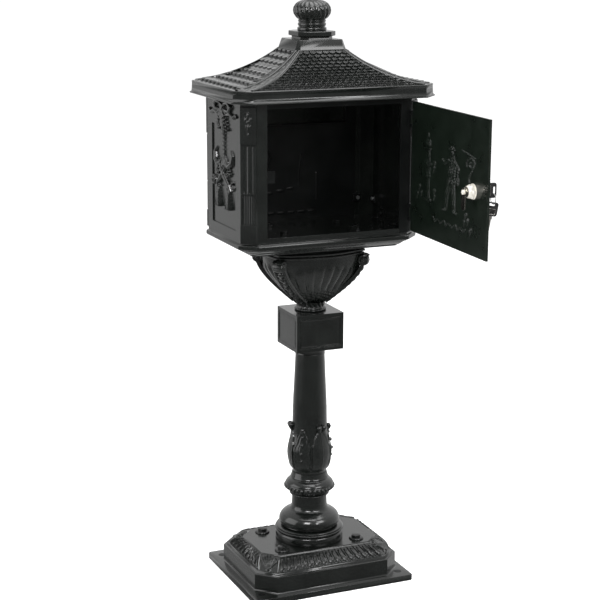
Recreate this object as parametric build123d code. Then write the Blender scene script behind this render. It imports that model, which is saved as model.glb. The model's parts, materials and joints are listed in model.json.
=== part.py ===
from build123d import *
import math
import os

os.makedirs("parts", exist_ok=True)

# A cast aluminium pedestal mailbox. Millimetres, +Z up, the origin on the ground under
# the middle of the post. The access door is on the -Y side, the mail slot on the +Y side.

# Base casting
flange_width = 336.0
flange_depth = 268.0
flange_thickness = 12.0
flange_corner = 4.0
wall_width = 304.0
wall_depth = 238.0
wall_corner = 34.0
wall_top = 46.0
ledge_inset = 7.0
ledge_rise = 5.0
top_plate_width = 248.0
top_plate_depth = 152.0
top_plate_corner = 28.0
base_height = 72.0
base_wall = 5.0
top_plate_thickness = 6.0
soffit_inset = 1.0
anchor_inset_x = 21.0
anchor_inset_y = 26.0
anchor_hole_radius = 5.0

# Base bolts and the steel plate they clamp under the top plate
base_bolt_spacing_x = 160.0
base_bolt_spacing_y = 104.0
base_bolt_radius = 5.0
base_bolt_washer_radius = 10.5
base_bolt_washer_thickness = 2.0
base_bolt_head_flats = 17.0
base_bolt_head_height = 6.4
base_nut_height = 8.0
base_bolt_end = 3.0
anchor_plate_margin = 14.0
anchor_plate_thickness = 5.0

# Post: radii and heights of its stacked castings
socle_radius = 67.5
socle_height = 18.0
socle_ring_radius = 68.5
socle_total = 27.0
bell_radius = 60.5
bell_foot_radius = 54.0
bell_neck_radius = 34.5
bell_total = 64.0
collar_radius = 50.6
collar_seat_radius = 40.0
collar_total = 42.0
vase_foot_radius = 33.5
vase_bulb_radius = 44.3
vase_waist_radius = 35.5
vase_leaf_radius = 38.5
vase_total = 135.0
shaft_foot_radius = 33.8
shaft_top_radius = 28.6
shaft_total = 112.0
shaft_collar_radius = 33.5
shaft_collar_total = 17.0
post_bore = 22.0
spigot_clearance = 0.2
spigot_wall = 3.0
spigot_height = 6.0
socle_wall = 6.0

# Capital block
block_width = 98.0
block_height = 73.0
block_wall = 6.0
block_panel_border = 11.0
block_panel_depth = 1.6

# Tie rod
rod_radius = 6.0
rod_clearance = 0.5
rod_washer_radius = 17.0
rod_washer_thickness = 2.5
rod_nut_flats = 19.0
rod_nut_height = 10.0
rod_end = 3.5

# Bowl under the box
neck_ring_radius = 31.0
neck_radius = 27.5
neck_total = 18.0
bowl_width = 196.0
bowl_depth = 130.0
bowl_corner = 44.0
bowl_foot = 50.0
bowl_height = 95.0
bowl_opening = 1.15
bowl_wall = 5.0
bowl_floor = 8.0
rib_thickness = 22.0
rib_proud = 6.5
volute_radius = 12.0
volute_length = 25.0
volute_drop = 5.5
rim_proud = 3.0
rim_inset = 4.0
rim_height = 18.0
rim_lip_height = 5.0
rim_plate = 5.0

# Box
box_width = 357.0
box_depth = 219.0
box_corner = 23.5
box_height = 263.0

# Trays under the box
under_tray_width = box_width - 51.0
under_tray_depth = box_depth - 50.0
under_tray_corner = 24.0
under_tray_height = 16.0
under_tray_floor = 5.0
tray_width = box_width + 9.0
tray_depth = box_depth + 10.0
tray_corner = 29.5
tray_lip_height = 9.0
tray_height = 14.0
tray_deck = 6.0
tray_wall = 5.0
tray_bolt_spacing_x = bowl_width - 52.0
tray_bolt_spacing_y = bowl_depth - 56.0
tray_bolt_radius = 4.0
tray_bolt_head_flats = 13.0
tray_bolt_head_height = 5.3
tray_nut_height = 6.5

# Box walls
panel_thickness = 5.0
front_strip = 20.0
corner_return = 12.0
field_margin_side = 13.0
field_margin_bottom = 17.0
field_margin_top = 58.0
field_depth = 2.5
header_height = 18.0
sill_height = 8.0
tab_thickness = 4.0
tab_overlap = 9.0
tab_root = 6.0
tab_height = 16.0
tab_end_gap = 26.0

# Screws of the box
screw_radius = 2.0
screw_clearance = 0.15
screw_head_radius = 3.8
screw_head_height = 2.4
screw_bite = 3.8
bracket_leg = 20.0
bracket_width = 18.0
bracket_thickness = 2.5
bracket_y = 38.0

# Roof
eave_width = box_width + 53.0
eave_depth = box_depth + 62.0
eave_corner = 30.4
eave_below_box_top = 6.0
fascia_height = 22.0
fascia_flare = 7.0
lip_height = 2.0
lip_inset = 3.0
roof_rise = 61.0
band_width = 104.0
band_depth = 97.0
band_corner = 8.0
band_height = 19.4
roof_top_width = 91.0
roof_top_depth = 84.0
roof_bow = 17.0
roof_steps = 7
roof_wall = 5.5
fascia_wall = 5.0
ledge_reach = 28.5
ledge_thickness = 5.0

# Finial
plinth_foot = 66.0
plinth_foot_height = 5.6
plinth_width = 76.0
plinth_height = 9.0
finial_ring_radius = 27.5
finial_waist_radius = 22.0
finial_ball_radius = 36.3
finial_tip_radius = 13.0
finial_height = 71.0
finial_flat = 1.5
stud_radius = 4.0
stud_clearance = 0.3
stud_depth = 30.0
stud_nut_flats = 13.0
stud_nut_height = 6.5
stud_tail = 4.0

# Door and hinges
door_width = 311.0
door_height = 245.0
door_thickness = 4.0
door_gap = 0.6
door_bottom_gap = 5.0
door_open_angle = 88.0
hinge_side_offset = 2.5
knuckle_radius = 4.5
knuckle_offset = 0.6
pin_radius = 2.0
pin_clearance = 0.05
pin_head_radius = 3.4
pin_head_height = 1.4
hinge_lug_height = 8.0
hinge_knuckle_height = 16.0
hinge_end_gap = 0.3
hinge_inset = 18.0
notch_margin = 1.5
latch_inset = 54.0
latch_height = 119.0

# Cam lock and keys
barrel_radius = 9.0
barrel_clearance = 0.1
barrel_reach = 16.0
bezel_radius = 12.5
bezel_height = 2.0
plug_radius = 6.0
plug_clearance = 0.05
plug_proud = 0.6
plug_tail = 1.2
lock_washer_radius = 14.0
lock_washer_thickness = 1.0
lock_nut_flats = 24.0
lock_nut_height = 4.5
cam_length = 32.0
cam_width = 14.0
cam_thickness = 2.0
cam_square = 6.0
cam_screw_radius = 1.5
cam_screw_depth = 4.0
cam_screw_head_radius = 4.2
cam_screw_head_height = 1.8
key_blade_width = 8.0
key_blade_thickness = 2.0
key_blade_clearance = 0.1
key_blade_length = 27.0
key_insertion = 19.0
key_head_width = 27.0
key_head_length = 25.0
key_head_thickness = 2.4
key_shoulder = 6.0
key_slot_length = 14.0
key_slot_width = 6.0
key_slot_margin = 2.6
key_slot_round = 1.1
ring_wire = 0.7
ring_radius = 9.3
ring_clearance = 0.25
spare_tilt = 10.0
strike_plate_height = 44.0
strike_tongue_height = 22.0
strike_thickness = 2.0
strike_step = 7.3
strike_reach = 22.0

# Mail slot
slot_width = 244.0
slot_height = 34.0
slot_below_top = 42.0
bezel_margin = 12.0
bezel_plate = 2.5
flap_overlap = 6.0
flap_thickness = 2.0
flap_gap = 0.4
flap_knuckle_radius = 3.2
flap_pin_radius = 1.5
flap_pin_clearance = 0.05
flap_ear_thickness = 3.0
flap_ear_gap = 0.4
flap_spring_length = 14.0
flap_spring_wall = 0.7

# Heights worked out from the stack
foot_top = base_height + socle_total
bell_top = foot_top + bell_total
collar_top = bell_top + collar_total
vase_top = collar_top + vase_total
shaft_top = vase_top + shaft_total
block_bottom = shaft_top + shaft_collar_total
block_top = block_bottom + block_height
bowl_bottom = block_top + neck_total
bowl_top = bowl_bottom + bowl_height
rim_top = bowl_top + rim_height
under_tray_top = rim_top + under_tray_height
deck_top = under_tray_top + tray_height
box_top = deck_top + box_height
eave_bottom = box_top - eave_below_box_top
fascia_top = eave_bottom + fascia_height
lip_top = fascia_top + lip_height
band_bottom = lip_top + roof_rise
roof_top = band_bottom + band_height
plinth_bottom = roof_top + plinth_foot_height
plinth_top = plinth_bottom + plinth_height

# Places worked out from the box
half_width = box_width / 2
half_depth = box_depth / 2
strip_end = half_width - box_corner - front_strip
side_end = half_depth - box_corner - corner_return
rear_end = half_width - box_corner - corner_return
hinge_x = half_width - box_corner + hinge_side_offset
door_inner_y = -half_depth - door_gap
door_outer_y = door_inner_y - door_thickness
hinge_y = door_outer_y - knuckle_offset
door_bottom = deck_top + door_bottom_gap
door_top = door_bottom + door_height
lock_x = hinge_x - door_width + latch_inset
lock_z = deck_top + latch_height
slot_top = box_top - slot_below_top
slot_bottom = slot_top - slot_height
bezel_y = half_depth + bezel_plate
flap_y = bezel_y + flap_gap
flap_pin_y = flap_y + flap_knuckle_radius
flap_pin_z = slot_top + flap_overlap
base_soffit = base_height - top_plate_thickness


def box_between(low, high):
    """An axis-aligned box from its lowest to its highest corner."""
    size = [h - l for l, h in zip(low, high)]
    middle = [(h + l) / 2 for l, h in zip(low, high)]
    return Pos(*middle) * Box(*size)


def rod_between(low_z, high_z, radius, x=0.0, y=0.0):
    """An upright cylinder."""
    return Pos(x, y, (low_z + high_z) / 2) * Cylinder(radius, high_z - low_z)


def lying_y(low_y, high_y, radius, x, z):
    """A cylinder whose axis is along Y."""
    return Pos(x, (low_y + high_y) / 2, z) * Rot(90, 0, 0) * Cylinder(radius, high_y - low_y)


def lying_x(low_x, high_x, radius, y, z):
    """A cylinder whose axis is along X."""
    return Pos((low_x + high_x) / 2, y, z) * Rot(0, 90, 0) * Cylinder(radius, high_x - low_x)


def hexagon(flats, height):
    """A hexagonal prism standing on the XY plane."""
    return extrude(RegularPolygon(flats / math.sqrt(3), 6), height)


def plan_corners(width, depth, corner):
    """The eight corners of a rectangle with its corners cut at 45 degrees."""
    w = width / 2
    d = depth / 2
    quarter = [(w, d - corner), (w - corner, d)]
    back = [(-x, y) for x, y in reversed(quarter)]
    return quarter + back + [(-x, -y) for x, y in quarter] + [(x, -y) for x, y in reversed(quarter)]


def stack(*sections):
    """Straight walls through cut-corner plans, each given as z, width, depth, corner."""
    faces = []
    for z, width, depth, corner in sections:
        points = [(x, y, z) for x, y in plan_corners(width, depth, corner)]
        faces.append(make_face(Polyline(*points, close=True)))
    return loft(faces, ruled=True)


def inset(section, wall):
    """The same plan, moved in by a wall thickness."""
    z, width, depth, corner = section
    return (z, width - 2 * wall, depth - 2 * wall, corner - (2 - math.sqrt(2)) * wall)


def at_height(section, z):
    """The same plan at another height."""
    return (z,) + tuple(section[1:])


def turned(steps):
    """A solid of revolution from (radius, z) steps; a pair of steps is an arc through the first."""
    def point(step):
        return (step[0], 0, step[1])

    edges = []
    here = steps[0]
    for step in list(steps[1:]) + [steps[0]]:
        if isinstance(step[0], tuple):
            edges.append(ThreePointArc(point(here), point(step[0]), point(step[1])))
            here = step[1]
        else:
            edges.append(Line(point(here), point(step)))
            here = step
    return revolve(make_face(edges), axis=Axis.Z)


def post_casting(outer, top):
    """A hollow post casting with a spigot on its top that centres the next one."""
    reach = post_bore - spigot_clearance
    core = reach - spigot_wall
    bottom = outer[0][1]
    inner = [
        (reach, top),
        (reach, top + spigot_height),
        (core, top + spigot_height),
        (core, top - spigot_wall),
        (post_bore, top - 2 * spigot_wall),
    ]
    return turned([(post_bore, bottom)] + outer + inner)


def mirrored_four(maker):
    """The four mirror images of a piece, as a list."""
    return [maker(sx, sy) for sx in (-1, 1) for sy in (-1, 1)]


def grid(spacing_x, spacing_y):
    """The four corners of a bolt rectangle."""
    return [(sx * spacing_x / 2, sy * spacing_y / 2) for sx in (-1, 1) for sy in (-1, 1)]


# ---------------------------------------------------------------- base

wall_section = (0, wall_width, wall_depth, wall_corner)
ledge_section = inset(at_height(wall_section, wall_top + ledge_rise), ledge_inset)
top_section = (base_height, top_plate_width, top_plate_depth, top_plate_corner)
anchor_spacing_x = flange_width - 2 * anchor_inset_x
anchor_spacing_y = flange_depth - 2 * anchor_inset_y


def make_base_casting():
    flange_section = (0, flange_width, flange_depth, flange_corner)
    flange = stack(flange_section, at_height(flange_section, flange_thickness))
    hill = stack(wall_section, at_height(wall_section, wall_top), ledge_section, top_section)
    hollow = stack(
        at_height(inset(wall_section, base_wall), -1),
        at_height(inset(wall_section, base_wall), wall_top),
        inset(ledge_section, base_wall),
        at_height(inset(top_section, soffit_inset), base_soffit),
    )
    casting = flange + hill - hollow
    for x, y in grid(base_bolt_spacing_x, base_bolt_spacing_y):
        casting -= rod_between(base_soffit - 1, base_height + 1, base_bolt_radius + rod_clearance, x, y)
    for x, y in grid(anchor_spacing_x, anchor_spacing_y):
        casting -= rod_between(-1, flange_thickness + 1, anchor_hole_radius, x, y)
    return casting - rod_between(base_soffit - 1, base_height + 1, rod_radius + rod_clearance)


def make_anchor_plate():
    low = base_soffit - anchor_plate_thickness
    reach_x = base_bolt_spacing_x / 2 + anchor_plate_margin
    reach_y = base_bolt_spacing_y / 2 + anchor_plate_margin
    plate = box_between((-reach_x, -reach_y, low), (reach_x, reach_y, base_soffit))
    for x, y in grid(base_bolt_spacing_x, base_bolt_spacing_y):
        plate -= rod_between(low - 1, base_soffit + 1, base_bolt_radius + rod_clearance, x, y)
    return plate - rod_between(low - 1, base_soffit + 1, rod_radius + rod_clearance)


def hex_bolt(x, y, seat_z, end_z, radius, flats, head_height):
    """A hexagon bolt whose head stands on seat_z and whose shank ends at end_z."""
    head = Pos(x, y, seat_z) * hexagon(flats, head_height)
    return head + rod_between(end_z, seat_z + head_height / 2, radius, x, y)


def make_base_bolts():
    seat = base_height + base_bolt_washer_thickness
    nut_bottom = base_soffit - anchor_plate_thickness - base_nut_height
    end = nut_bottom - base_bolt_end
    return [
        hex_bolt(x, y, seat, end, base_bolt_radius, base_bolt_head_flats, base_bolt_head_height)
        for x, y in grid(base_bolt_spacing_x, base_bolt_spacing_y)
    ]


def make_base_washers():
    top = base_height + base_bolt_washer_thickness
    return [
        rod_between(base_height, top, base_bolt_washer_radius, x, y)
        - rod_between(base_height - 1, top + 1, base_bolt_radius, x, y)
        for x, y in grid(base_bolt_spacing_x, base_bolt_spacing_y)
    ]


def nut(x, y, low_z, radius, flats, height):
    """A hexagon nut on an upright thread."""
    body = Pos(x, y, low_z) * hexagon(flats, height)
    return body - rod_between(low_z - 1, low_z + height + 1, radius, x, y)


def make_base_nuts():
    low = base_soffit - anchor_plate_thickness - base_nut_height
    return [
        nut(x, y, low, base_bolt_radius, base_bolt_head_flats, base_nut_height)
        for x, y in grid(base_bolt_spacing_x, base_bolt_spacing_y)
    ]


# ---------------------------------------------------------------- post

def make_post_socle():
    z = base_height
    reach = post_bore - spigot_clearance
    core = reach - spigot_wall
    crown = foot_top - socle_wall
    return turned([
        (socle_radius - socle_wall, z),
        (socle_radius, z),
        (socle_radius, z + socle_height - 3),
        (socle_radius - 2.5, z + socle_height - 1),
        (socle_ring_radius, z + socle_height + 1),
        (socle_ring_radius, foot_top - 3),
        (socle_ring_radius - 3, foot_top),
        (reach, foot_top),
        (reach, foot_top + spigot_height),
        (core, foot_top + spigot_height),
        (core, crown),
        (socle_radius - socle_wall, crown),
    ])


def make_post_bell():
    z = foot_top
    outer = [
        (bell_foot_radius, z),
        (bell_foot_radius, z + 2),
        ((bell_radius, z + 13), (bell_radius - 5, z + 26)),
        ((bell_neck_radius + 6, z + 36), (bell_neck_radius, bell_top - 13)),
        (bell_neck_radius, bell_top - 11),
        (collar_seat_radius - 1, bell_top - 7),
        (collar_seat_radius - 1, bell_top),
    ]
    return post_casting(outer, bell_top)


def make_beaded_collar():
    z = bell_top
    waist = (z + collar_top) / 2
    outer = [
        (collar_seat_radius, z),
        ((collar_radius, waist), (collar_seat_radius, collar_top)),
    ]
    return post_casting(outer, collar_top)


def make_leaf_vase():
    z = collar_top
    outer = [
        (vase_foot_radius, z),
        (vase_foot_radius, z + 13),
        ((vase_bulb_radius, z + 49), (vase_waist_radius, z + 84)),
        ((vase_leaf_radius, z + 102), (shaft_foot_radius + 1, vase_top)),
    ]
    return post_casting(outer, vase_top)


def make_post_shaft():
    outer = [
        (shaft_foot_radius, vase_top),
        (shaft_top_radius, shaft_top),
    ]
    return post_casting(outer, shaft_top)


def make_shaft_collar():
    z = shaft_top
    outer = [
        (shaft_top_radius + 1, z),
        (shaft_top_radius + 1, z + 6),
        ((shaft_top_radius + 1.6, z + 12), (shaft_collar_radius, block_bottom)),
    ]
    return post_casting(outer, block_bottom)


def make_capital_block():
    w = block_width / 2
    block = box_between((-w, -w, block_bottom), (w, w, block_top))
    hollow = w - block_wall
    plate = spigot_height + 2
    block -= box_between((-hollow, -hollow, block_bottom + plate), (hollow, hollow, block_top - plate))
    block -= rod_between(block_bottom - 1, block_bottom + plate + 1, post_bore)
    block -= rod_between(block_top - plate - 1, block_top + 1, rod_radius + rod_clearance)
    reach = w - block_panel_border
    low = block_bottom + block_panel_border
    high = block_top - block_panel_border
    pocket = box_between((-reach, w - block_panel_depth, low), (reach, w + 1, high))
    for turn in range(4):
        block -= Rot(0, 0, 90 * turn) * pocket
    return block


# ---------------------------------------------------------------- tie rod

rod_bottom_nut = base_soffit - anchor_plate_thickness - rod_washer_thickness - rod_nut_height
rod_top_seat = bowl_bottom + bowl_floor


def make_tie_rod():
    low = rod_bottom_nut - rod_end
    high = rod_top_seat + rod_washer_thickness + rod_nut_height + rod_end
    return rod_between(low, high, rod_radius)


def make_tie_rod_nuts():
    top = rod_top_seat + rod_washer_thickness
    return [
        nut(0, 0, rod_bottom_nut, rod_radius, rod_nut_flats, rod_nut_height),
        nut(0, 0, top, rod_radius, rod_nut_flats, rod_nut_height),
    ]


def make_tie_rod_washers():
    seats = (rod_bottom_nut + rod_nut_height, rod_top_seat)
    return [
        rod_between(z, z + rod_washer_thickness, rod_washer_radius)
        - rod_between(z - 1, z + rod_washer_thickness + 1, rod_radius)
        for z in seats
    ]


# ---------------------------------------------------------------- bowl

def bowl_section(rise):
    """The bowl's plan at a share of its height, opening steadily and then standing up."""
    swell = math.sin(rise * math.pi / 2) ** bowl_opening
    width = bowl_foot + (bowl_width - bowl_foot) * swell
    depth = bowl_foot + (bowl_depth - bowl_foot) * swell
    corner = bowl_corner / 2 * (width + depth) / (bowl_width + bowl_depth)
    return (bowl_bottom + rise * bowl_height, width, depth, corner)


bowl_rises = (0.0, 0.03, 0.1, 0.22, 0.38, 0.56, 0.76, 1.0)


def bowl_outside():
    return stack(*[bowl_section(rise) for rise in bowl_rises])


def make_bowl_neck():
    z = block_top
    return turned([
        (rod_radius + rod_clearance, z),
        (neck_ring_radius, z),
        (neck_ring_radius, z + 5),
        (neck_radius, z + 8),
        (neck_radius, bowl_bottom - 3),
        (bowl_foot / 2, bowl_bottom),
        (rod_radius + rod_clearance, bowl_bottom),
    ])


def make_bowl_shell():
    floor_z = bowl_bottom + bowl_floor
    inner = [inset(bowl_section(rise), bowl_wall) for rise in bowl_rises]
    inner = [section for section in inner if section[0] > floor_z + 1]
    floor = at_height(inset(inner[0], bowl_wall), floor_z)
    lid = at_height(inner[-1], bowl_top + 1)
    bore = rod_between(bowl_bottom - 1, floor_z + 1, rod_radius + rod_clearance)
    return bowl_outside() - stack(floor, *inner[:-1], lid) - bore


def rib_blank(sx, sy):
    """One corner rib with its scroll, before the bowl is cut away from it."""
    corner = (bowl_width / 2 - bowl_corner / 4, bowl_depth / 2 - bowl_corner / 4)
    outward = math.hypot(*corner)
    edge = []
    for rise in bowl_rises[1:-1]:
        z, width, depth, cut = bowl_section(rise)
        reach = math.hypot(width / 2 - cut / 2, depth / 2 - cut / 2) + rib_proud
        edge.append((reach, z))
    edge.append((outward + rib_proud, bowl_top - volute_drop))
    core = [(10, bowl_top - volute_drop), (10, edge[0][1])]
    outline = [(x, 0, z) for x, z in edge + core]
    web = extrude(make_face(Polyline(*outline, close=True)), rib_thickness / 2, both=True)
    centre = Pos(outward, 0, bowl_top - volute_drop - volute_radius / 2)
    scroll = centre * Rot(90, 0, 0) * Cylinder(volute_radius, volute_length)
    turn = math.degrees(math.atan2(sy * corner[1], sx * corner[0]))
    return Rot(0, 0, turn) * (web + scroll)


def make_bowl_ribs():
    bowl = bowl_outside()
    above = box_between((-bowl_width, -bowl_width, bowl_top), (bowl_width, bowl_width, deck_top))
    return mirrored_four(lambda sx, sy: rib_blank(sx, sy) - bowl - above)


rim_section = inset((bowl_top, bowl_width, bowl_depth, bowl_corner / 2), -rim_proud)
rim_waist = inset((bowl_top, bowl_width, bowl_depth, bowl_corner / 2), rim_inset)


def make_bowl_rim():
    shoulder = bowl_top + rim_lip_height
    body = stack(
        rim_section,
        at_height(rim_section, shoulder),
        at_height(rim_waist, shoulder + 4),
        at_height(rim_waist, rim_top),
    )
    hollow = inset(rim_waist, bowl_wall)
    body -= stack(at_height(hollow, bowl_top - 1), at_height(hollow, rim_top - rim_plate))
    for x, y in grid(tray_bolt_spacing_x, tray_bolt_spacing_y):
        body -= rod_between(rim_top - rim_plate - 1, rim_top + 1, tray_bolt_radius + rod_clearance, x, y)
    return body


# ---------------------------------------------------------------- trays

tray_section = (under_tray_top, tray_width, tray_depth, tray_corner)
box_section = (deck_top, box_width, box_depth, box_corner)
under_tray_section = (rim_top, under_tray_width, under_tray_depth, under_tray_corner)


def bolt_holes(low, high):
    """Clearance holes for the four bolts that hold the box on the bowl."""
    holes = [
        rod_between(low - 1, high + 1, tray_bolt_radius + rod_clearance, x, y)
        for x, y in grid(tray_bolt_spacing_x, tray_bolt_spacing_y)
    ]
    return holes


def make_under_tray():
    rise = under_tray_height / 8
    top = inset(tray_section, tray_wall)
    sections = [
        under_tray_section,
        at_height(under_tray_section, rim_top + rise),
        at_height(inset(under_tray_section, -7), rim_top + 3 * rise),
        at_height(inset(under_tray_section, -16), rim_top + 5 * rise),
        at_height(top, under_tray_top),
    ]
    floor_z = rim_top + under_tray_floor
    inner = [inset(section, tray_wall) for section in sections]
    hollow = stack(at_height(inner[1], floor_z), *inner[2:-1], at_height(inner[-1], under_tray_top + 1))
    pan = stack(*sections) - hollow
    for hole in bolt_holes(rim_top, floor_z):
        pan -= hole
    return pan


def make_floor_tray():
    lip_top_z = under_tray_top + tray_lip_height
    body = stack(
        tray_section,
        at_height(tray_section, lip_top_z),
        at_height(inset(tray_section, 2.5), lip_top_z + 2),
        box_section,
    )
    hollow = inset(tray_section, 2 * tray_wall)
    body -= stack(at_height(hollow, under_tray_top - 1), at_height(hollow, deck_top - tray_deck))
    for hole in bolt_holes(deck_top - tray_deck, deck_top):
        body -= hole
    for x, y in bracket_floor_points():
        body -= rod_between(deck_top - screw_bite, deck_top + 1, screw_radius, x, y)
    return body


tray_nut_top = rim_top - rim_plate


def make_tray_bolts():
    end = tray_nut_top - tray_nut_height - 2
    return [
        hex_bolt(x, y, deck_top, end, tray_bolt_radius, tray_bolt_head_flats, tray_bolt_head_height)
        for x, y in grid(tray_bolt_spacing_x, tray_bolt_spacing_y)
    ]


def make_tray_nuts():
    low = tray_nut_top - tray_nut_height
    return [
        nut(x, y, low, tray_bolt_radius, tray_bolt_head_flats, tray_nut_height)
        for x, y in grid(tray_bolt_spacing_x, tray_bolt_spacing_y)
    ]


# ---------------------------------------------------------------- box walls

miter = math.tan(math.radians(22.5)) * panel_thickness
tab_low = deck_top + tab_end_gap
tab_high = box_top - tab_end_gap - tab_height
tab_heights = (tab_low, tab_high)


def pilaster(sx, sy, face_return):
    """A cut corner with a return along the side and another along the front or back."""
    w = half_width
    d = half_depth
    t = panel_thickness
    outline = [
        (w, side_end),
        (w, d - box_corner),
        (w - box_corner, d),
        (w - box_corner - face_return, d),
        (w - box_corner - face_return, d - t),
        (w - box_corner - miter, d - t),
        (w - t, d - box_corner - miter),
        (w - t, side_end),
    ]
    points = [(sx * x, sy * y, deck_top) for x, y in outline]
    post = extrude(make_face(Polyline(*points, close=True)), box_height, dir=(0, 0, 1))
    for z in tab_heights:
        y = sy * (side_end + tab_overlap / 2)
        inner = sx * (w - t)
        post -= lying_x(*sorted((inner, inner + sx * screw_bite)), screw_radius, y, z + tab_height / 2)
    return post


def face_screw_hole(sx, sy, x, z):
    """The blind hole for a screw through a tab on a front or back panel."""
    inner = sy * (half_depth - panel_thickness)
    return lying_y(*sorted((inner, inner + sy * screw_bite)), screw_radius, sx * x, z)


front_tab_x = strip_end + tab_overlap / 2
rear_tab_x = rear_end + tab_overlap / 2
header_low = box_top - header_height
sill_tab_z = deck_top + sill_height / 2
header_tab_z = box_top - header_height / 2


def hinge_heights():
    """The bottom of each hinge's lower lug."""
    stack_height = 2 * hinge_lug_height + hinge_knuckle_height + 2 * hinge_end_gap
    return (door_bottom + hinge_inset, door_top - hinge_inset - stack_height)


def lug_spans(low):
    """The heights of a hinge's two lugs."""
    upper = low + hinge_lug_height + hinge_knuckle_height + 2 * hinge_end_gap
    return ((low, low + hinge_lug_height), (upper, upper + hinge_lug_height))


def hinge_lug(low, high):
    """A lug on the front right corner that carries the end of a hinge pin."""
    web = box_between(
        (hinge_x - knuckle_radius, hinge_y, low),
        (hinge_x + knuckle_radius, -half_depth + panel_thickness / 2, high),
    )
    inside = box_between((0, -half_depth + panel_thickness / 2, low), (half_width, 0, high))
    return web + rod_between(low, high, knuckle_radius, hinge_x, hinge_y) - inside


def make_front_pilaster(sx):
    post = pilaster(sx, -1, front_strip)
    for z in (sill_tab_z, header_tab_z):
        post -= face_screw_hole(sx, -1, front_tab_x, z)
    if sx > 0:
        for low in hinge_heights():
            for span in lug_spans(low):
                post += hinge_lug(*span)
                post -= rod_between(span[0] - 1, span[1] + 1, pin_radius, hinge_x, hinge_y)
    else:
        for z in strike_screw_heights():
            post -= face_screw_hole(sx, -1, front_tab_x, z)
    return post


def make_rear_pilaster(sx):
    post = pilaster(sx, 1, corner_return)
    for z in tab_heights:
        post -= face_screw_hole(sx, 1, rear_tab_x, z + tab_height / 2)
    return post


def bracket_screw_y():
    return (-bracket_y, bracket_y)


def bracket_floor_x():
    return half_width - panel_thickness - bracket_leg / 2 - bracket_thickness / 2


def bracket_floor_points():
    return [(sx * bracket_floor_x(), y) for sx in (-1, 1) for y in bracket_screw_y()]


def bracket_wall_heights():
    middle = bracket_leg / 2 + bracket_thickness / 2
    return (deck_top + middle, box_top - middle)


def make_side_panel(sx):
    outer = sx * half_width
    inner = sx * (half_width - panel_thickness)
    low_x, high_x = sorted((outer, inner))
    panel = box_between((low_x, -side_end, deck_top), (high_x, side_end, box_top))
    field_low, field_high = sorted((outer - sx * field_depth, outer + sx))
    reach = side_end - field_margin_side
    panel -= box_between(
        (field_low, -reach, deck_top + field_margin_bottom),
        (field_high, reach, box_top - field_margin_top),
    )
    tab_x = sorted((inner, inner - sx * tab_thickness))
    for sy in (-1, 1):
        tab_y = sorted((sy * (side_end - tab_root), sy * (side_end + tab_overlap)))
        for z in tab_heights:
            tab = box_between((tab_x[0], tab_y[0], z), (tab_x[1], tab_y[1], z + tab_height))
            y = sy * (side_end + tab_overlap / 2)
            hole = lying_x(tab_x[0] - 1, tab_x[1] + 1, screw_radius + screw_clearance, y, z + tab_height / 2)
            panel += tab - hole
    bite = min(screw_bite, panel_thickness - field_depth - 0.5)
    for y in bracket_screw_y():
        for z in bracket_wall_heights():
            panel -= lying_x(*sorted((inner, inner + sx * bite)), screw_radius, y, z)
    return panel


def face_tab(sx, sy, root_x, overlap, low_z, high_z, hole_z):
    """A tab behind a front or back panel that laps onto the corner beside it."""
    inner = sy * (half_depth - panel_thickness)
    tab_y = sorted((inner, inner - sy * tab_thickness))
    tab_x = sorted((sx * (root_x - tab_root), sx * (root_x + overlap)))
    tab = box_between((tab_x[0], tab_y[0], low_z), (tab_x[1], tab_y[1], high_z))
    x = sx * (root_x + overlap / 2)
    return tab - lying_y(tab_y[0] - 1, tab_y[1] + 1, screw_radius + screw_clearance, x, hole_z)


def make_rear_panel():
    panel = box_between((-rear_end, half_depth - panel_thickness, deck_top), (rear_end, half_depth, box_top))
    panel -= box_between(
        (-slot_width / 2, half_depth - panel_thickness - 1, slot_bottom),
        (slot_width / 2, half_depth + 1, slot_top),
    )
    for sx in (-1, 1):
        for z in tab_heights:
            panel += face_tab(sx, 1, rear_end, tab_overlap, z, z + tab_height, z + tab_height / 2)
    for x, z in slot_screw_points():
        panel -= lying_y(half_depth - screw_bite, half_depth + 1, screw_radius, x, z)
    return panel


def make_front_rail(low_z, high_z, hole_z):
    rail = box_between((-strip_end, -half_depth, low_z), (strip_end, -half_depth + panel_thickness, high_z))
    for sx in (-1, 1):
        rail += face_tab(sx, -1, strip_end, tab_overlap, low_z, high_z, hole_z)
    return rail


def pan_screw(length):
    """A pan-head screw along +Z with its head's underside at the origin."""
    head = Pos(0, 0, -screw_head_height / 2) * Cylinder(screw_head_radius, screw_head_height)
    slot_depth = screw_head_height / 3
    slot = Pos(0, 0, -screw_head_height + slot_depth / 2) * Box(2 * screw_head_radius, 0.9, slot_depth)
    return head - slot + Pos(0, 0, length / 2) * Cylinder(screw_radius, length)


def screw_toward(point, direction, length):
    """A pan-head screw with its head seated at a point, driven along a direction."""
    return Plane(origin=point, z_dir=direction).location * pan_screw(length)


def make_panel_screws():
    length = tab_thickness + screw_bite
    screws = []
    for sx in (-1, 1):
        x = sx * (half_width - panel_thickness - tab_thickness)
        for sy in (-1, 1):
            for z in tab_heights:
                point = (x, sy * (side_end + tab_overlap / 2), z + tab_height / 2)
                screws.append(screw_toward(point, (sx, 0, 0), length))
        for z in tab_heights:
            point = (sx * rear_tab_x, half_depth - panel_thickness - tab_thickness, z + tab_height / 2)
            screws.append(screw_toward(point, (0, 1, 0), length))
        for z in (sill_tab_z, header_tab_z):
            point = (sx * front_tab_x, -half_depth + panel_thickness + tab_thickness, z)
            screws.append(screw_toward(point, (0, -1, 0), length))
    return screws


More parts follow.
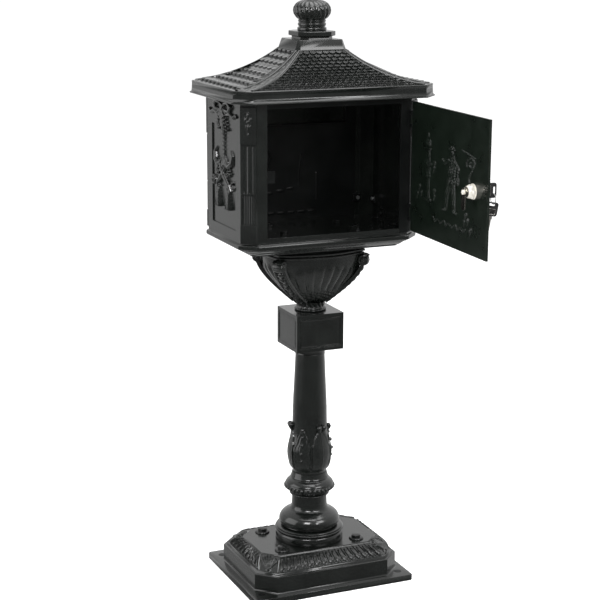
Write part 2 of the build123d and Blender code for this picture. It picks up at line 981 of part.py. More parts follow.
def bracket(sx, y, top):
    """An angle bracket between a side wall and the floor, or the roof when top is true."""
    w = half_width - panel_thickness
    t = bracket_thickness
    floor = box_between((w - bracket_leg, -bracket_width / 2, 0), (w, bracket_width / 2, t))
    wall = box_between((w - t, -bracket_width / 2, 0), (w, bracket_width / 2, bracket_leg))
    piece = floor + wall
    hole = screw_radius + screw_clearance
    piece -= rod_between(-1, t + 1, hole, bracket_floor_x(), 0)
    piece -= lying_x(w - t - 1, w + 1, hole, 0, bracket_leg / 2 + t / 2)
    if sx < 0:
        piece = Rot(0, 0, 180) * piece
    if top:
        return Pos(0, y, box_top) * piece.mirror(Plane.XY)
    return Pos(0, y, deck_top) * piece


def make_angle_brackets():
    return [
        bracket(sx, y, top)
        for sx in (-1, 1)
        for y in bracket_screw_y()
        for top in (False, True)
    ]


def make_bracket_screws():
    wall_bite = min(screw_bite, panel_thickness - field_depth - 0.5)
    screws = []
    for sx in (-1, 1):
        x = sx * (half_width - panel_thickness - bracket_thickness)
        for y in bracket_screw_y():
            for z in bracket_wall_heights():
                screws.append(screw_toward((x, y, z), (sx, 0, 0), bracket_thickness + wall_bite))
            foot = (sx * bracket_floor_x(), y, deck_top + bracket_thickness)
            screws.append(screw_toward(foot, (0, 0, -1), bracket_thickness + screw_bite))
            head = (sx * bracket_floor_x(), y, box_top - bracket_thickness)
            screws.append(screw_toward(head, (0, 0, 1), bracket_thickness + screw_bite))
    return screws


# ---------------------------------------------------------------- mail slot

bezel_low = slot_bottom - bezel_margin
bezel_high = slot_top + bezel_margin + flap_overlap
bezel_reach = slot_width / 2 + 2 * bezel_margin
flap_reach = slot_width / 2 + flap_overlap
ear_inner = flap_reach + flap_ear_gap
ear_outer = ear_inner + flap_ear_thickness


def slot_screw_points():
    x = bezel_reach - bezel_margin / 2
    z_offset = bezel_margin / 2
    return [(sx * x, z) for sx in (-1, 1) for z in (bezel_low + z_offset, bezel_high - z_offset)]


def make_slot_bezel():
    frame = box_between((-bezel_reach, half_depth, bezel_low), (bezel_reach, bezel_y, bezel_high))
    frame -= box_between(
        (-slot_width / 2, half_depth - 1, slot_bottom),
        (slot_width / 2, bezel_y + 1, slot_top),
    )
    ear_radius = flap_knuckle_radius + 1
    for sx in (-1, 1):
        low, high = sorted((sx * ear_inner, sx * ear_outer))
        ear = lying_x(low, high, ear_radius, flap_pin_y, flap_pin_z)
        ear += box_between(
            (low, half_depth + bezel_plate / 2, flap_pin_z - ear_radius),
            (high, flap_pin_y, flap_pin_z + ear_radius),
        )
        frame += ear
        frame -= lying_x(low - 1, high + 1, flap_pin_radius, flap_pin_y, flap_pin_z)
    for x, z in slot_screw_points():
        frame -= lying_y(half_depth - 1, bezel_y + 1, screw_radius + screw_clearance, x, z)
    return frame


def make_slot_screws():
    return [
        screw_toward((x, bezel_y, z), (0, -1, 0), bezel_plate + screw_bite)
        for x, z in slot_screw_points()
    ]


def spring_spans():
    """Where the two torsion springs sit along the flap's pin."""
    low = slot_width / 4
    return ((-low - flap_spring_length, -low), (low, low + flap_spring_length))


def make_slot_flap():
    low = slot_bottom - flap_overlap
    plate = box_between((-flap_reach, flap_y, low), (flap_reach, flap_y + flap_thickness, flap_pin_z))
    plate += lying_x(-flap_reach, flap_reach, flap_knuckle_radius, flap_pin_y, flap_pin_z)
    pull = box_between(
        (-slot_width / 8, flap_y, low),
        (slot_width / 8, flap_y + 3 * flap_thickness, low + 2 * flap_thickness),
    )
    plate += pull
    window = flap_knuckle_radius + flap_gap
    for span in spring_spans():
        plate -= box_between(
            (span[0] - flap_gap, flap_y - 1, flap_pin_z - window),
            (span[1] + flap_gap, flap_pin_y + window, flap_pin_z + window),
        )
    bore = flap_pin_radius + flap_pin_clearance
    return plate - lying_x(-flap_reach - 1, flap_reach + 1, bore, flap_pin_y, flap_pin_z)


def make_flap_pin():
    return lying_x(-ear_outer, ear_outer, flap_pin_radius, flap_pin_y, flap_pin_z)


def make_flap_springs():
    inner = flap_pin_radius
    outer = inner + flap_spring_wall
    springs = []
    for low, high in spring_spans():
        coil = lying_x(low, high, outer, flap_pin_y, flap_pin_z)
        leg = box_between(
            (low, bezel_y, flap_pin_z + outer - flap_spring_wall),
            (low + flap_spring_wall, flap_pin_y, flap_pin_z + outer),
        )
        springs.append(coil + leg - lying_x(low - 1, high + 1, inner, flap_pin_y, flap_pin_z))
    return springs


# ---------------------------------------------------------------- roof

def concave_run(rise_now, run, rise):
    """How far a hollow roof slope has come in once it has climbed rise_now."""
    bow = math.radians(roof_bow)
    chord_angle = math.atan2(rise, run)
    radius = math.hypot(run, rise) / (2 * math.sin(bow))
    start = chord_angle - bow
    here = math.acos(math.cos(start) - rise_now / radius)
    return radius * (math.sin(here) - math.sin(start))


eave_section = (eave_bottom, eave_width, eave_depth, eave_corner)
fascia_section = inset(at_height(eave_section, fascia_top), fascia_flare)
lip_section = inset(at_height(fascia_section, lip_top), lip_inset)
roof_top_section = (roof_top, roof_top_width, roof_top_depth, band_corner)


def slope_sections():
    """The plans of the hollow-curved slopes from the lip to the band."""
    sections = []
    for step in range(roof_steps + 1):
        rise_now = roof_rise * (step / roof_steps) ** 1.4
        run_x = concave_run(rise_now, (lip_section[1] - band_width) / 2, roof_rise)
        run_y = concave_run(rise_now, (lip_section[2] - band_depth) / 2, roof_rise)
        share = run_x / ((lip_section[1] - band_width) / 2)
        corner = lip_section[3] + (band_corner - lip_section[3]) * share
        width = lip_section[1] - 2 * run_x
        depth = lip_section[2] - 2 * run_y
        sections.append((lip_top + rise_now, width, depth, corner))
    return sections


def make_roof_shell():
    slopes = slope_sections()
    roof = stack(eave_section, fascia_section, *slopes, roof_top_section)
    skirt = inset(at_height(eave_section, eave_bottom - 1), fascia_wall + 1)
    roof -= stack(skirt, at_height(skirt, box_top))
    opening = inset(at_height(box_section, box_top - 1), ledge_reach)
    roof -= stack(opening, at_height(opening, box_top + ledge_thickness + 1))
    lowered = [at_height(section, section[0] - roof_wall) for section in slopes]
    attic = at_height(lowered[0], box_top + ledge_thickness)
    crown = inset(at_height(roof_top_section, roof_top - roof_wall), roof_wall)
    roof -= stack(attic, *lowered, crown)
    for x, y in bracket_floor_points():
        roof -= rod_between(box_top - 1, box_top + screw_bite, screw_radius, x, y)
    return roof - rod_between(roof_top - roof_wall - 1, roof_top + 1, stud_radius + stud_clearance)


def make_finial_plinth():
    foot = plinth_foot / 2
    slab = plinth_width / 2
    plinth = box_between((-foot, -foot, roof_top), (foot, foot, plinth_bottom + 1))
    plinth += box_between((-slab, -slab, plinth_bottom), (slab, slab, plinth_top))
    plinth = chamfer(plinth.edges().group_by(Axis.Z)[-1], plinth_height / 3)
    return plinth - rod_between(roof_top - 1, plinth_top + 1, stud_radius + stud_clearance)


def make_finial_ball():
    z = plinth_top
    ring = finial_ring_radius
    waist = finial_waist_radius
    ball = turned([
        (0, z),
        (ring - 2, z),
        (ring, z + 2),
        (ring, z + 6),
        (waist, z + 8.5),
        (waist, z + 11),
        (ring - 1, z + 14),
        (ring - 1, z + 18),
        (waist - 2, z + 22),
        ((finial_ball_radius, z + 40), (finial_tip_radius, z + 57)),
        (finial_tip_radius, z + 59),
        ((finial_tip_radius - 2, z + 66), (finial_flat, z + finial_height)),
        (0, z + finial_height),
    ])
    return ball - rod_between(z - 1, z + stud_depth, stud_radius)


stud_nut_low = roof_top - roof_wall - stud_nut_height


def make_finial_stud():
    return rod_between(stud_nut_low - stud_tail, plinth_top + stud_depth, stud_radius)


def make_finial_nut():
    return nut(0, 0, stud_nut_low, stud_radius, stud_nut_flats, stud_nut_height)


# ---------------------------------------------------------------- door, made closed

door_free_x = hinge_x - door_width


def make_door_panel():
    edge_x = hinge_x - knuckle_radius - notch_margin
    panel = box_between((door_free_x, door_outer_y, door_bottom), (edge_x, door_inner_y, door_top))
    for low in hinge_heights():
        knuckle_low = low + hinge_lug_height + hinge_end_gap
        knuckle_high = knuckle_low + hinge_knuckle_height
        panel += rod_between(knuckle_low, knuckle_high, knuckle_radius, hinge_x, hinge_y)
        panel += box_between(
            (edge_x - 1, door_outer_y, knuckle_low),
            (hinge_x, door_outer_y + door_thickness - 1, knuckle_high),
        )
        panel -= rod_between(knuckle_low - 1, knuckle_high + 1, pin_radius + pin_clearance, hinge_x, hinge_y)
    hole = lying_y(door_outer_y - 1, door_inner_y + 1, barrel_radius + barrel_clearance, lock_x, lock_z)
    return panel - hole


def make_hinge_pins():
    pins = []
    for low in hinge_heights():
        top = lug_spans(low)[1][1]
        pin = rod_between(low, top, pin_radius, hinge_x, hinge_y)
        pins.append(pin + rod_between(top, top + pin_head_height, pin_head_radius, hinge_x, hinge_y))
    return pins


barrel_end = door_inner_y + barrel_reach
bezel_front = door_outer_y - bezel_height
plug_front = bezel_front - plug_proud
plug_end = barrel_end + plug_tail
cam_end = plug_end + cam_thickness


def make_lock_body():
    body = lying_y(door_outer_y, barrel_end, barrel_radius, lock_x, lock_z)
    body += lying_y(bezel_front, door_outer_y, bezel_radius, lock_x, lock_z)
    return body - lying_y(bezel_front - 1, barrel_end + 1, plug_radius + plug_clearance, lock_x, lock_z)


def make_lock_washer():
    end = door_inner_y + lock_washer_thickness
    disc = lying_y(door_inner_y, end, lock_washer_radius, lock_x, lock_z)
    return disc - lying_y(door_inner_y - 1, end + 1, barrel_radius, lock_x, lock_z)


def make_lock_nut():
    low = door_inner_y + lock_washer_thickness
    body = Pos(lock_x, low, lock_z) * Rot(-90, 0, 0) * hexagon(lock_nut_flats, lock_nut_height)
    return body - lying_y(low - 1, low + lock_nut_height + 1, barrel_radius, lock_x, lock_z)


def make_lock_plug():
    plug = lying_y(plug_front, plug_end, plug_radius, lock_x, lock_z)
    half = cam_square / 2
    plug += box_between((lock_x - half, plug_end, lock_z - half), (lock_x + half, cam_end, lock_z + half))
    keyway = key_blade_width / 2 + key_blade_clearance
    slit = key_blade_thickness / 2 + key_blade_clearance
    plug -= box_between(
        (lock_x - slit, plug_front - 1, lock_z - keyway),
        (lock_x + slit, plug_front + key_insertion + 1, lock_z + keyway),
    )
    return plug - lying_y(cam_end - cam_screw_depth, cam_end + 1, cam_screw_radius, lock_x, lock_z)


def make_lock_cam():
    half = cam_width / 2
    blade = box_between(
        (lock_x - half, plug_end, lock_z - cam_length + half),
        (lock_x + half, cam_end, lock_z),
    )
    blade += lying_y(plug_end, cam_end, half, lock_x, lock_z - cam_length + half)
    blade += lying_y(plug_end, cam_end, half + 1, lock_x, lock_z)
    hole = cam_square / 2
    return blade - box_between(
        (lock_x - hole, plug_end - 1, lock_z - hole),
        (lock_x + hole, cam_end + 1, lock_z + hole),
    )


def make_cam_screw():
    shank = lying_y(cam_end - cam_screw_depth, cam_end, cam_screw_radius, lock_x, lock_z)
    head_end = cam_end + cam_screw_head_height
    return shank + lying_y(cam_end, head_end, cam_screw_head_radius, lock_x, lock_z)


def make_key():
    """A key lying in the YZ plane, its shoulder at the origin, its blade towards +Y."""
    half_t = key_head_thickness / 2
    head = box_between(
        (-half_t, -key_shoulder - key_head_length, -key_head_width / 2),
        (half_t, -key_shoulder, key_head_width / 2),
    )
    head = fillet(head.edges().filter_by(Axis.X), 4.5)
    slot_y = -key_shoulder - key_head_length + key_slot_margin + key_slot_width / 2
    slot = box_between(
        (-half_t - 1, slot_y - key_slot_width / 2, -key_slot_length / 2),
        (half_t + 1, slot_y + key_slot_width / 2, key_slot_length / 2),
    )
    slot = fillet(slot.edges().filter_by(Axis.X), 2.2)
    head -= slot
    rims = [face.inner_wires()[0] for face in head.faces().filter_by(Axis.X) if face.inner_wires()]
    head = fillet([edge for rim in rims for edge in rim.edges()], key_slot_round)
    neck = box_between(
        (-key_blade_thickness / 2, -key_shoulder - 1, -key_blade_width / 2 - 1.5),
        (key_blade_thickness / 2, 0, key_blade_width / 2 + 1.5),
    )
    blade = box_between(
        (-key_blade_thickness / 2, -1, -key_blade_width / 2),
        (key_blade_thickness / 2, key_blade_length, key_blade_width / 2),
    )
    return head + neck + blade


key_origin_y = plug_front - (key_blade_length - key_insertion)
door_slot_y = key_origin_y - key_shoulder - key_head_length + key_slot_margin + key_slot_width / 2
ring_top_z = lock_z - key_slot_length / 2 + ring_wire + ring_clearance
ring_z = ring_top_z - ring_radius
spare_pivot_z = ring_z - ring_radius + ring_wire + ring_clearance + key_slot_round


def make_door_key():
    return Pos(lock_x, key_origin_y, lock_z) * make_key()


def make_key_ring():
    return Pos(lock_x, door_slot_y, ring_z) * Rot(90, 0, 0) * Torus(ring_radius, ring_wire)


def make_spare_key():
    hang = key_shoulder + key_head_length - key_slot_margin
    slide = math.tan(math.radians(spare_tilt)) * spare_mass_drop
    upright = Rot(-90, 0, 0) * make_key()
    upright = Pos(0, slide, -hang - key_slot_round) * upright
    return Pos(lock_x, door_slot_y, spare_pivot_z) * Rot(spare_tilt, 0, 0) * upright


spare_mass_drop = key_head_length / 2


def strike_screw_heights():
    offset = strike_plate_height / 2 - 6
    return (lock_z - offset, lock_z + offset)


def make_strike_plate():
    wall_y = -half_depth + panel_thickness
    t = strike_thickness
    low_z = lock_z - strike_plate_height / 2
    high_z = lock_z + strike_plate_height / 2
    foot = box_between((-strip_end - 16, wall_y, low_z), (-strip_end, wall_y + t, high_z))
    tongue_low = lock_z - strike_tongue_height / 2
    tongue_high = lock_z + strike_tongue_height / 2
    step = box_between(
        (-strip_end - t, wall_y, tongue_low),
        (-strip_end, wall_y + strike_step + t, tongue_high),
    )
    tongue = box_between(
        (-strip_end - t, wall_y + strike_step, tongue_low),
        (-strip_end + strike_reach - t, wall_y + strike_step + t, tongue_high),
    )
    plate = foot + step + tongue
    for z in strike_screw_heights():
        plate -= lying_y(wall_y - 1, wall_y + t + 1, screw_radius + screw_clearance, -front_tab_x, z)
    return plate


def make_strike_screws():
    seat = -half_depth + panel_thickness + strike_thickness
    return [
        screw_toward((-front_tab_x, seat, z), (0, -1, 0), strike_thickness + screw_bite)
        for z in strike_screw_heights()
    ]


# ---------------------------------------------------------------- assembly

hinge_line = Axis((hinge_x, hinge_y, 0), (0, 0, 1))


def opened(shape):
    """A piece made on the closed door, swung to the open door."""
    return shape.rotate(hinge_line, door_open_angle)


def save(name, shape):
    """Write one sub-part; a list is written as separate solids."""
    solids = shape if isinstance(shape, list) else [shape]
    flat = [solid for item in solids for solid in item.solids()]
    export_step(Compound(children=flat) if len(flat) > 1 else flat[0], "parts/" + name + ".step")


fixed_pieces = {
    "base_casting": make_base_casting,
    "anchor_plate": make_anchor_plate,
    "base_bolts": make_base_bolts,
    "base_washers": make_base_washers,
    "base_nuts": make_base_nuts,
    "post_socle": make_post_socle,
    "post_bell": make_post_bell,
    "beaded_collar": make_beaded_collar,
    "leaf_vase": make_leaf_vase,
    "post_shaft": make_post_shaft,
    "shaft_collar": make_shaft_collar,
    "capital_block": make_capital_block,
    "tie_rod": make_tie_rod,
    "tie_rod_nuts": make_tie_rod_nuts,
    "tie_rod_washers": make_tie_rod_washers,
    "bowl_neck": make_bowl_neck,
    "bowl_shell": make_bowl_shell,
    "bowl_ribs": make_bowl_ribs,
    "bowl_rim": make_bowl_rim,
    "under_tray": make_under_tray,
    "floor_tray": make_floor_tray,
    "tray_bolts": make_tray_bolts,
    "tray_nuts": make_tray_nuts,
    "front_left_pilaster": lambda: make_front_pilaster(-1),
    "front_right_pilaster": lambda: make_front_pilaster(1),
    "rear_left_pilaster": lambda: make_rear_pilaster(-1),
    "rear_right_pilaster": lambda: make_rear_pilaster(1),
    "left_panel": lambda: make_side_panel(-1),
    "right_panel": lambda: make_side_panel(1),
    "rear_panel": make_rear_panel,
    "door_header": lambda: make_front_rail(header_low, box_top, header_tab_z),
    "door_sill": lambda: make_front_rail(deck_top, deck_top + sill_height, sill_tab_z),
    "panel_screws": make_panel_screws,
    "angle_brackets": make_angle_brackets,
    "bracket_screws": make_bracket_screws,
    "slot_bezel": make_slot_bezel,
    "slot_screws": make_slot_screws,
    "slot_flap": make_slot_flap,
    "flap_pin": make_flap_pin,
    "flap_springs": make_flap_springs,
    "roof_shell": make_roof_shell,
    "finial_plinth": make_finial_plinth,
    "finial_ball": make_finial_ball,
    "finial_stud": make_finial_stud,
    "finial_nut": make_finial_nut,
    "hinge_pins": make_hinge_pins,
    "strike_plate": make_strike_plate,
    "strike_screws": make_strike_screws,
}

door_pieces = {
    "door_panel": make_door_panel,
    "lock_body": make_lock_body,
    "lock_washer": make_lock_washer,
    "lock_nut": make_lock_nut,
    "lock_plug": make_lock_plug,
    "lock_cam": make_lock_cam,
    "cam_screw": make_cam_screw,
    "door_key": make_door_key,
    "key_ring": make_key_ring,
    "spare_key": make_spare_key,
}

for name, maker in fixed_pieces.items():
    save(name, maker())

for name, maker in door_pieces.items():
    save(name, opened(maker()))
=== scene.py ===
import json
import math

import bpy
import numpy as np
from mathutils import Matrix, Vector


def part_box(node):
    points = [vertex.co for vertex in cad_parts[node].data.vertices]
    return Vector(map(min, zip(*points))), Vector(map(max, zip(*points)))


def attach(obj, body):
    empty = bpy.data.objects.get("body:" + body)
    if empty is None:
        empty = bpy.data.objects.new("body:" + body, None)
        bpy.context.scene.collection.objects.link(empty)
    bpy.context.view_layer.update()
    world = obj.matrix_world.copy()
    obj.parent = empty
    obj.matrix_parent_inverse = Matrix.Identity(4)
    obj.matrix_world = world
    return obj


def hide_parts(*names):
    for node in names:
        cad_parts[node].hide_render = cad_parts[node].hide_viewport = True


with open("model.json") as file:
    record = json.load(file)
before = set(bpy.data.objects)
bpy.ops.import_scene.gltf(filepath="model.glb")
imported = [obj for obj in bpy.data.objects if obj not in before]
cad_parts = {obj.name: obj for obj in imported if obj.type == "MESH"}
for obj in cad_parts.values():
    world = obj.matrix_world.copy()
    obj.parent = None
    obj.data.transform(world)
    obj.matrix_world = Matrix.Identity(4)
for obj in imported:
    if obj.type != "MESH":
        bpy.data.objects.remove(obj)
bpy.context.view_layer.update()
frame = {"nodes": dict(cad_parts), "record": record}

MM = 0.001


# ---------------------------------------------------------------- materials

def fill(node, **values):
    """Sets a node's sockets and settings by name."""
    for name, value in values.items():
        if name in node.inputs:
            node.inputs[name].default_value = value
        else:
            setattr(node, name, value)
    return node


def add_node(tree, kind, **values):
    return fill(tree.nodes.new(kind), **values)


def ramp(tree, source, low, high, to_low=0.0, to_high=1.0):
    """Maps one range of a value onto another."""
    reach = {"From Min": low, "From Max": high, "To Min": to_low, "To Max": to_high}
    node = add_node(tree, "ShaderNodeMapRange", **reach)
    tree.links.new(source, node.inputs["Value"])
    return node.outputs["Result"]


def mix_colour(tree, factor, first, second):
    """A colour that goes from first to second as factor goes from 0 to 1."""
    node = tree.nodes.new("ShaderNodeMix")
    node.data_type = "RGBA"
    tree.links.new(factor, node.inputs["Factor"])
    for socket, colour in ((node.inputs[6], first), (node.inputs[7], second)):
        if isinstance(colour, bpy.types.NodeSocket):
            tree.links.new(colour, socket)
        else:
            socket.default_value = (*colour, 1.0)
    return node.outputs[2]


def surface(name, colour, worn, rough, metal=0.0, peel=0.05, peel_size=900.0, coat=0.0,
            mottle=0.22, edge=0.0006, wear=0.5, streaks=0.0, shine=0.5):
    """A cast, painted or plated surface: mottled colour, uneven gloss, orange peel and rubbed edges."""
    material = bpy.data.materials.new(name)
    material.use_nodes = True
    tree = material.node_tree
    link = tree.links.new
    shader = tree.nodes["Principled BSDF"]
    place = tree.nodes.new("ShaderNodeTexCoord").outputs["Object"]
    cloud = add_node(tree, "ShaderNodeTexNoise", Scale=26.0, Detail=5.0, Roughness=0.6)
    grain = add_node(tree, "ShaderNodeTexNoise", Scale=230.0, Detail=3.0)
    skin = add_node(tree, "ShaderNodeTexNoise", Scale=peel_size, Detail=2.0)
    for texture in (cloud, grain, skin):
        link(place, texture.inputs["Vector"])
    if streaks:
        stretch = add_node(tree, "ShaderNodeMapping", Scale=(1.0, 1.0, streaks))
        link(place, stretch.inputs["Vector"])
        link(stretch.outputs["Vector"], skin.inputs["Vector"])

    rounded = add_node(tree, "ShaderNodeBevel", samples=4, Radius=edge)
    facing = add_node(tree, "ShaderNodeVectorMath", operation="DOT_PRODUCT")
    true_normal = tree.nodes.new("ShaderNodeNewGeometry")
    link(rounded.outputs["Normal"], facing.inputs[0])
    link(true_normal.outputs["Normal"], facing.inputs[1])
    rim = ramp(tree, facing.outputs["Value"], 0.99, 0.86)
    patchy = add_node(tree, "ShaderNodeMath", operation="MULTIPLY")
    link(rim, patchy.inputs[0])
    link(ramp(tree, grain.outputs["Fac"], 0.42, 0.62, 0.0, wear), patchy.inputs[1])

    darker = tuple(c * (1.0 - mottle) for c in colour)
    lighter = tuple(c * (1.0 + mottle) for c in colour)
    body = mix_colour(tree, ramp(tree, cloud.outputs["Fac"], 0.35, 0.65), darker, lighter)
    link(mix_colour(tree, patchy.outputs["Value"], body, worn), shader.inputs["Base Color"])
    link(ramp(tree, cloud.outputs["Fac"], 0.3, 0.7, rough * 0.85, rough * 1.2), shader.inputs["Roughness"])
    fill(shader, **{"Metallic": metal, "Specular IOR Level": shine, "Coat Weight": coat,
                    "Coat Roughness": 0.12})

    bump = add_node(tree, "ShaderNodeBump", Strength=peel, Distance=0.0004)
    link(skin.outputs["Fac"], bump.inputs["Height"])
    link(rounded.outputs["Normal"], bump.inputs["Normal"])
    link(bump.outputs["Normal"], shader.inputs["Normal"])
    return material


paint = surface("powder_coat", (0.0052, 0.0064, 0.0056), (0.030, 0.034, 0.031), rough=0.21,
                peel=0.012, coat=0.4)
# A darker, duller copy of the powder coat: painted shade for the parts inside the box or in its shade.
painted_shade_coat = surface("powder_coat_painted_shade", (0.0045, 0.0052, 0.0050), (0.02, 0.022, 0.021), rough=0.34,
                       peel=0.012, shine=0.22)
door_paint = surface("powder_coat_door", (0.0046, 0.0078, 0.0052), (0.03, 0.036, 0.032), rough=0.30,
                     peel=0.012)
fastener = surface("painted_steel", (0.007, 0.008, 0.0075), (0.06, 0.064, 0.06), rough=0.24,
                   peel=0.015, wear=0.8)
nickel = surface("bright_nickel", (0.80, 0.77, 0.70), (0.92, 0.90, 0.86), rough=0.2, metal=1.0, peel=0.03,
                 mottle=0.06, edge=0.0003)
plated = surface("pale_nickel", (0.86, 0.83, 0.75), (0.95, 0.93, 0.88), rough=0.3, metal=0.25, peel=0.02,
                 mottle=0.05, edge=0.0003)
zinc = surface("zinc_steel", (0.42, 0.43, 0.44), (0.7, 0.7, 0.7), rough=0.38, metal=1.0, peel=0.08,
               mottle=0.18, edge=0.0003)
blade_steel = surface("key_blade_steel", (0.50, 0.49, 0.46), (0.75, 0.74, 0.70), rough=0.3, metal=1.0,
                      peel=0.05, mottle=0.12, edge=0.0003, streaks=0.1)
key_plastic = surface("key_head_plastic", (0.012, 0.012, 0.013), (0.05, 0.05, 0.05), rough=0.42, peel=0.12,
                      peel_size=2400.0, edge=0.0004)
wire = surface("ring_wire_steel", (0.55, 0.55, 0.54), (0.75, 0.75, 0.74), rough=0.28, metal=1.0, peel=0.05,
               mottle=0.1, edge=0.0002)

SLOT_LOOKS = {
    "painted_casting": paint,
    "painted_fastener": fastener,
    "zinc_steel": zinc,
    "nickel": nickel,
    "key": nickel,
    "ring_wire": wire,
}
# Parts inside the box take the darker copy of the coat as painted shade; so do the right front pilaster and
# the zinc strike plate, which is painted dark.
NODE_LOOKS = {
    "rear_panel": painted_shade_coat,
    "door_sill": paint,
    "door_header": painted_shade_coat,
    "angle_brackets": painted_shade_coat,
    "bracket_screws": fastener,
    "flap_springs": zinc,
    "flap_pin": zinc,
    "strike_plate": painted_shade_coat,
    "front_right_pilaster": painted_shade_coat,
    "strike_screws": fastener,
    "lock_body": nickel,
    "lock_plug": nickel,
    "lock_nut": plated,
    "lock_cam": nickel,
    "lock_washer": plated,
    "cam_screw": plated,
}


def dress_cad_nodes():
    """Gives each carried-over CAD node its procedural finish."""
    for name, node in frame["nodes"].items():
        for material_slot in node.material_slots:
            slot_name = material_slot.material.name.split(".")[0] if material_slot.material else ""
            material_slot.material = NODE_LOOKS.get(name, SLOT_LOOKS.get(slot_name, paint))


# ---------------------------------------------------------------- mesh tools

def smoothstep(low, high, value):
    """0 below low, 1 above high, and a smooth turn between; low may be above high."""
    t = np.clip((value - low) / (high - low), 0.0, 1.0)
    return t * t * (3 - 2 * t)


def bump_at(x, y, centre, size, power=2.0):
    """A rounded boss of height 1 with an elliptical foot."""
    r = np.abs((x - centre[0]) / size[0]) ** power + np.abs((y - centre[1]) / size[1]) ** power
    return np.sqrt(np.clip(1 - r, 0, 1))


def ridge(value, middle, half):
    """A half-round ridge of height 1 along a line where a value passes its middle."""
    return np.sqrt(np.clip(1 - ((value - middle) / half) ** 2, 0, 1))


def stripe(value, middle, full, gone):
    """1 near the middle of a line, and 0 further off."""
    return 1 - smoothstep(full, gone, np.abs(value - middle))


def cord_along(x, y, points, radii):
    """A rounded cord of height 1 that follows points, with a radius at each."""
    best = np.zeros_like(x)
    for (ax, ay), (bx, by), ra, rb in zip(points[:-1], points[1:], radii[:-1], radii[1:]):
        dx, dy = bx - ax, by - ay
        t = np.clip(((x - ax) * dx + (y - ay) * dy) / (dx * dx + dy * dy), 0, 1)
        away = np.hypot(x - ax - t * dx, y - ay - t * dy) / (ra + (rb - ra) * t)
        best = np.maximum(best, np.sqrt(np.clip(1 - away ** 2, 0, 1)) * (ra + (rb - ra) * t) / max(radii))
    return best


def spiral(centre, start, turns, sweep, first, last, count=28):
    """Points along a flat scroll."""
    out = []
    for k in range(count):
        t = k / (count - 1)
        angle = start + sweep * turns * 2 * math.pi * t
        radius = first + (last - first) * t
        out.append((centre[0] + radius * math.cos(angle), centre[1] + radius * math.sin(angle)))
    return out


def flowing(points, spacing):
    """An even smooth line through points (Catmull-Rom)."""
    pts = [np.array(p, float) for p in points]
    pts = [2 * pts[0] - pts[1]] + pts + [2 * pts[-1] - pts[-2]]
    out = [pts[1]]
    for k in range(1, len(pts) - 2):
        p0, p1, p2, p3 = pts[k - 1:k + 3]
        steps = max(2, int(math.ceil(np.linalg.norm(p2 - p1) / spacing)))
        for n in range(1, steps + 1):
            t = n / steps
            out.append(0.5 * (2 * p1 + (p2 - p0) * t + (2 * p0 - 5 * p1 + 4 * p2 - p3) * t * t
                              + (3 * p1 - p0 - 3 * p2 + p3) * t ** 3))
    return np.array(out)


class Shape:
    """Quads gathered from several grids into one mesh."""

    def __init__(self):
        self.points, self.faces, self.count = [], [], 0

    def grid(self, points, wrap=False, flip=False):
        """Points are rows by columns by 3; wrap joins the last column to the first."""
        rows, cols = points.shape[:2]
        i, j = np.meshgrid(np.arange(rows - 1), np.arange(cols if wrap else cols - 1), indexing="ij")
        a = i * cols + j
        b = i * cols + (j + 1) % cols
        quads = np.stack([a, b, b + cols, a + cols], axis=-1).reshape(-1, 4)
        if flip:
            quads = quads[:, ::-1]
        self.points.append(points.reshape(-1, 3))
        self.faces += (quads + self.count).tolist()
        self.count += rows * cols
        return self

    def cap(self, ring, flip=False):
        """Closes one ring of points."""
        self.points.append(np.asarray(ring))
        order = list(range(self.count, self.count + len(ring)))
        self.faces.append(order[::-1] if flip else order)
        self.count += len(ring)
        return self

    def loft(self, rings, first=False):
        """Closed rings joined into a skin and capped at the last, and at the first if asked."""
        self.grid(rings, wrap=True)
        if first:
            self.cap(rings[0], flip=True)
        return self.cap(rings[-1])

    def tube(self, line, radii, sides=14):
        """A round bar along a line, closed at both ends."""
        line = np.asarray(line, float)
        radii = np.broadcast_to(radii, len(line))
        tangent = np.gradient(line, axis=0)
        tangent /= np.linalg.norm(tangent, axis=1, keepdims=True)
        side = np.cross(tangent[0], (0.3, 0.2, 0.93))
        rings = []
        for centre, ahead, radius in zip(line, tangent, radii):
            side = side - ahead * side.dot(ahead)
            side /= np.linalg.norm(side)
            other = np.cross(ahead, side)
            turn = np.arange(sides) * 2 * math.pi / sides
            rings.append(centre + radius * (np.outer(np.cos(turn), side) + np.outer(np.sin(turn), other)))
        return self.loft(np.array(rings), first=True)

    def blob(self, centre, size, axes=np.eye(3), rows=9, cols=14):
        """A rounded bead with its own three half-sizes and directions."""
        lat = np.linspace(-math.pi / 2 + 0.06, math.pi / 2 - 0.06, rows)[:, None]
        lon = np.linspace(0, 2 * math.pi, cols, endpoint=False)[None, :]
        local = np.stack([np.cos(lat) * np.cos(lon) * size[0], np.cos(lat) * np.sin(lon) * size[1],
                          np.sin(lat) * size[2] + 0 * lon], axis=-1)
        return self.loft(local @ np.asarray(axes) + np.asarray(centre), first=True)

    def turned_about(self, matrix):
        """Moves everything so far by a 4 by 4 matrix."""
        m = np.array(matrix)
        points = np.vstack(self.points)
        self.points = [points @ m[:3, :3].T + m[:3, 3]]
        return self

    def make(self, name, material, body, slot, replaces=(), sharp=38.0):
        """The finished piece, riding on a body."""
        mesh = bpy.data.meshes.new(name)
        mesh.from_pydata(np.vstack(self.points).tolist(), [], self.faces)
        mesh.polygons.foreach_set("use_smooth", [True] * len(mesh.polygons))
        mesh.set_sharp_from_angle(angle=math.radians(sharp))
        mesh.materials.append(material)
        piece = bpy.data.objects.new(name, mesh)
        bpy.context.scene.collection.objects.link(piece)
        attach(piece, body)
        if replaces:
            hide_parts(*replaces)
        return piece

    def cast(self, name, *nodes, sharp=38.0):
        """The finished piece as a painted casting of the fixed body."""
        return self.make(name, paint, "root", "painted_casting", nodes, sharp)


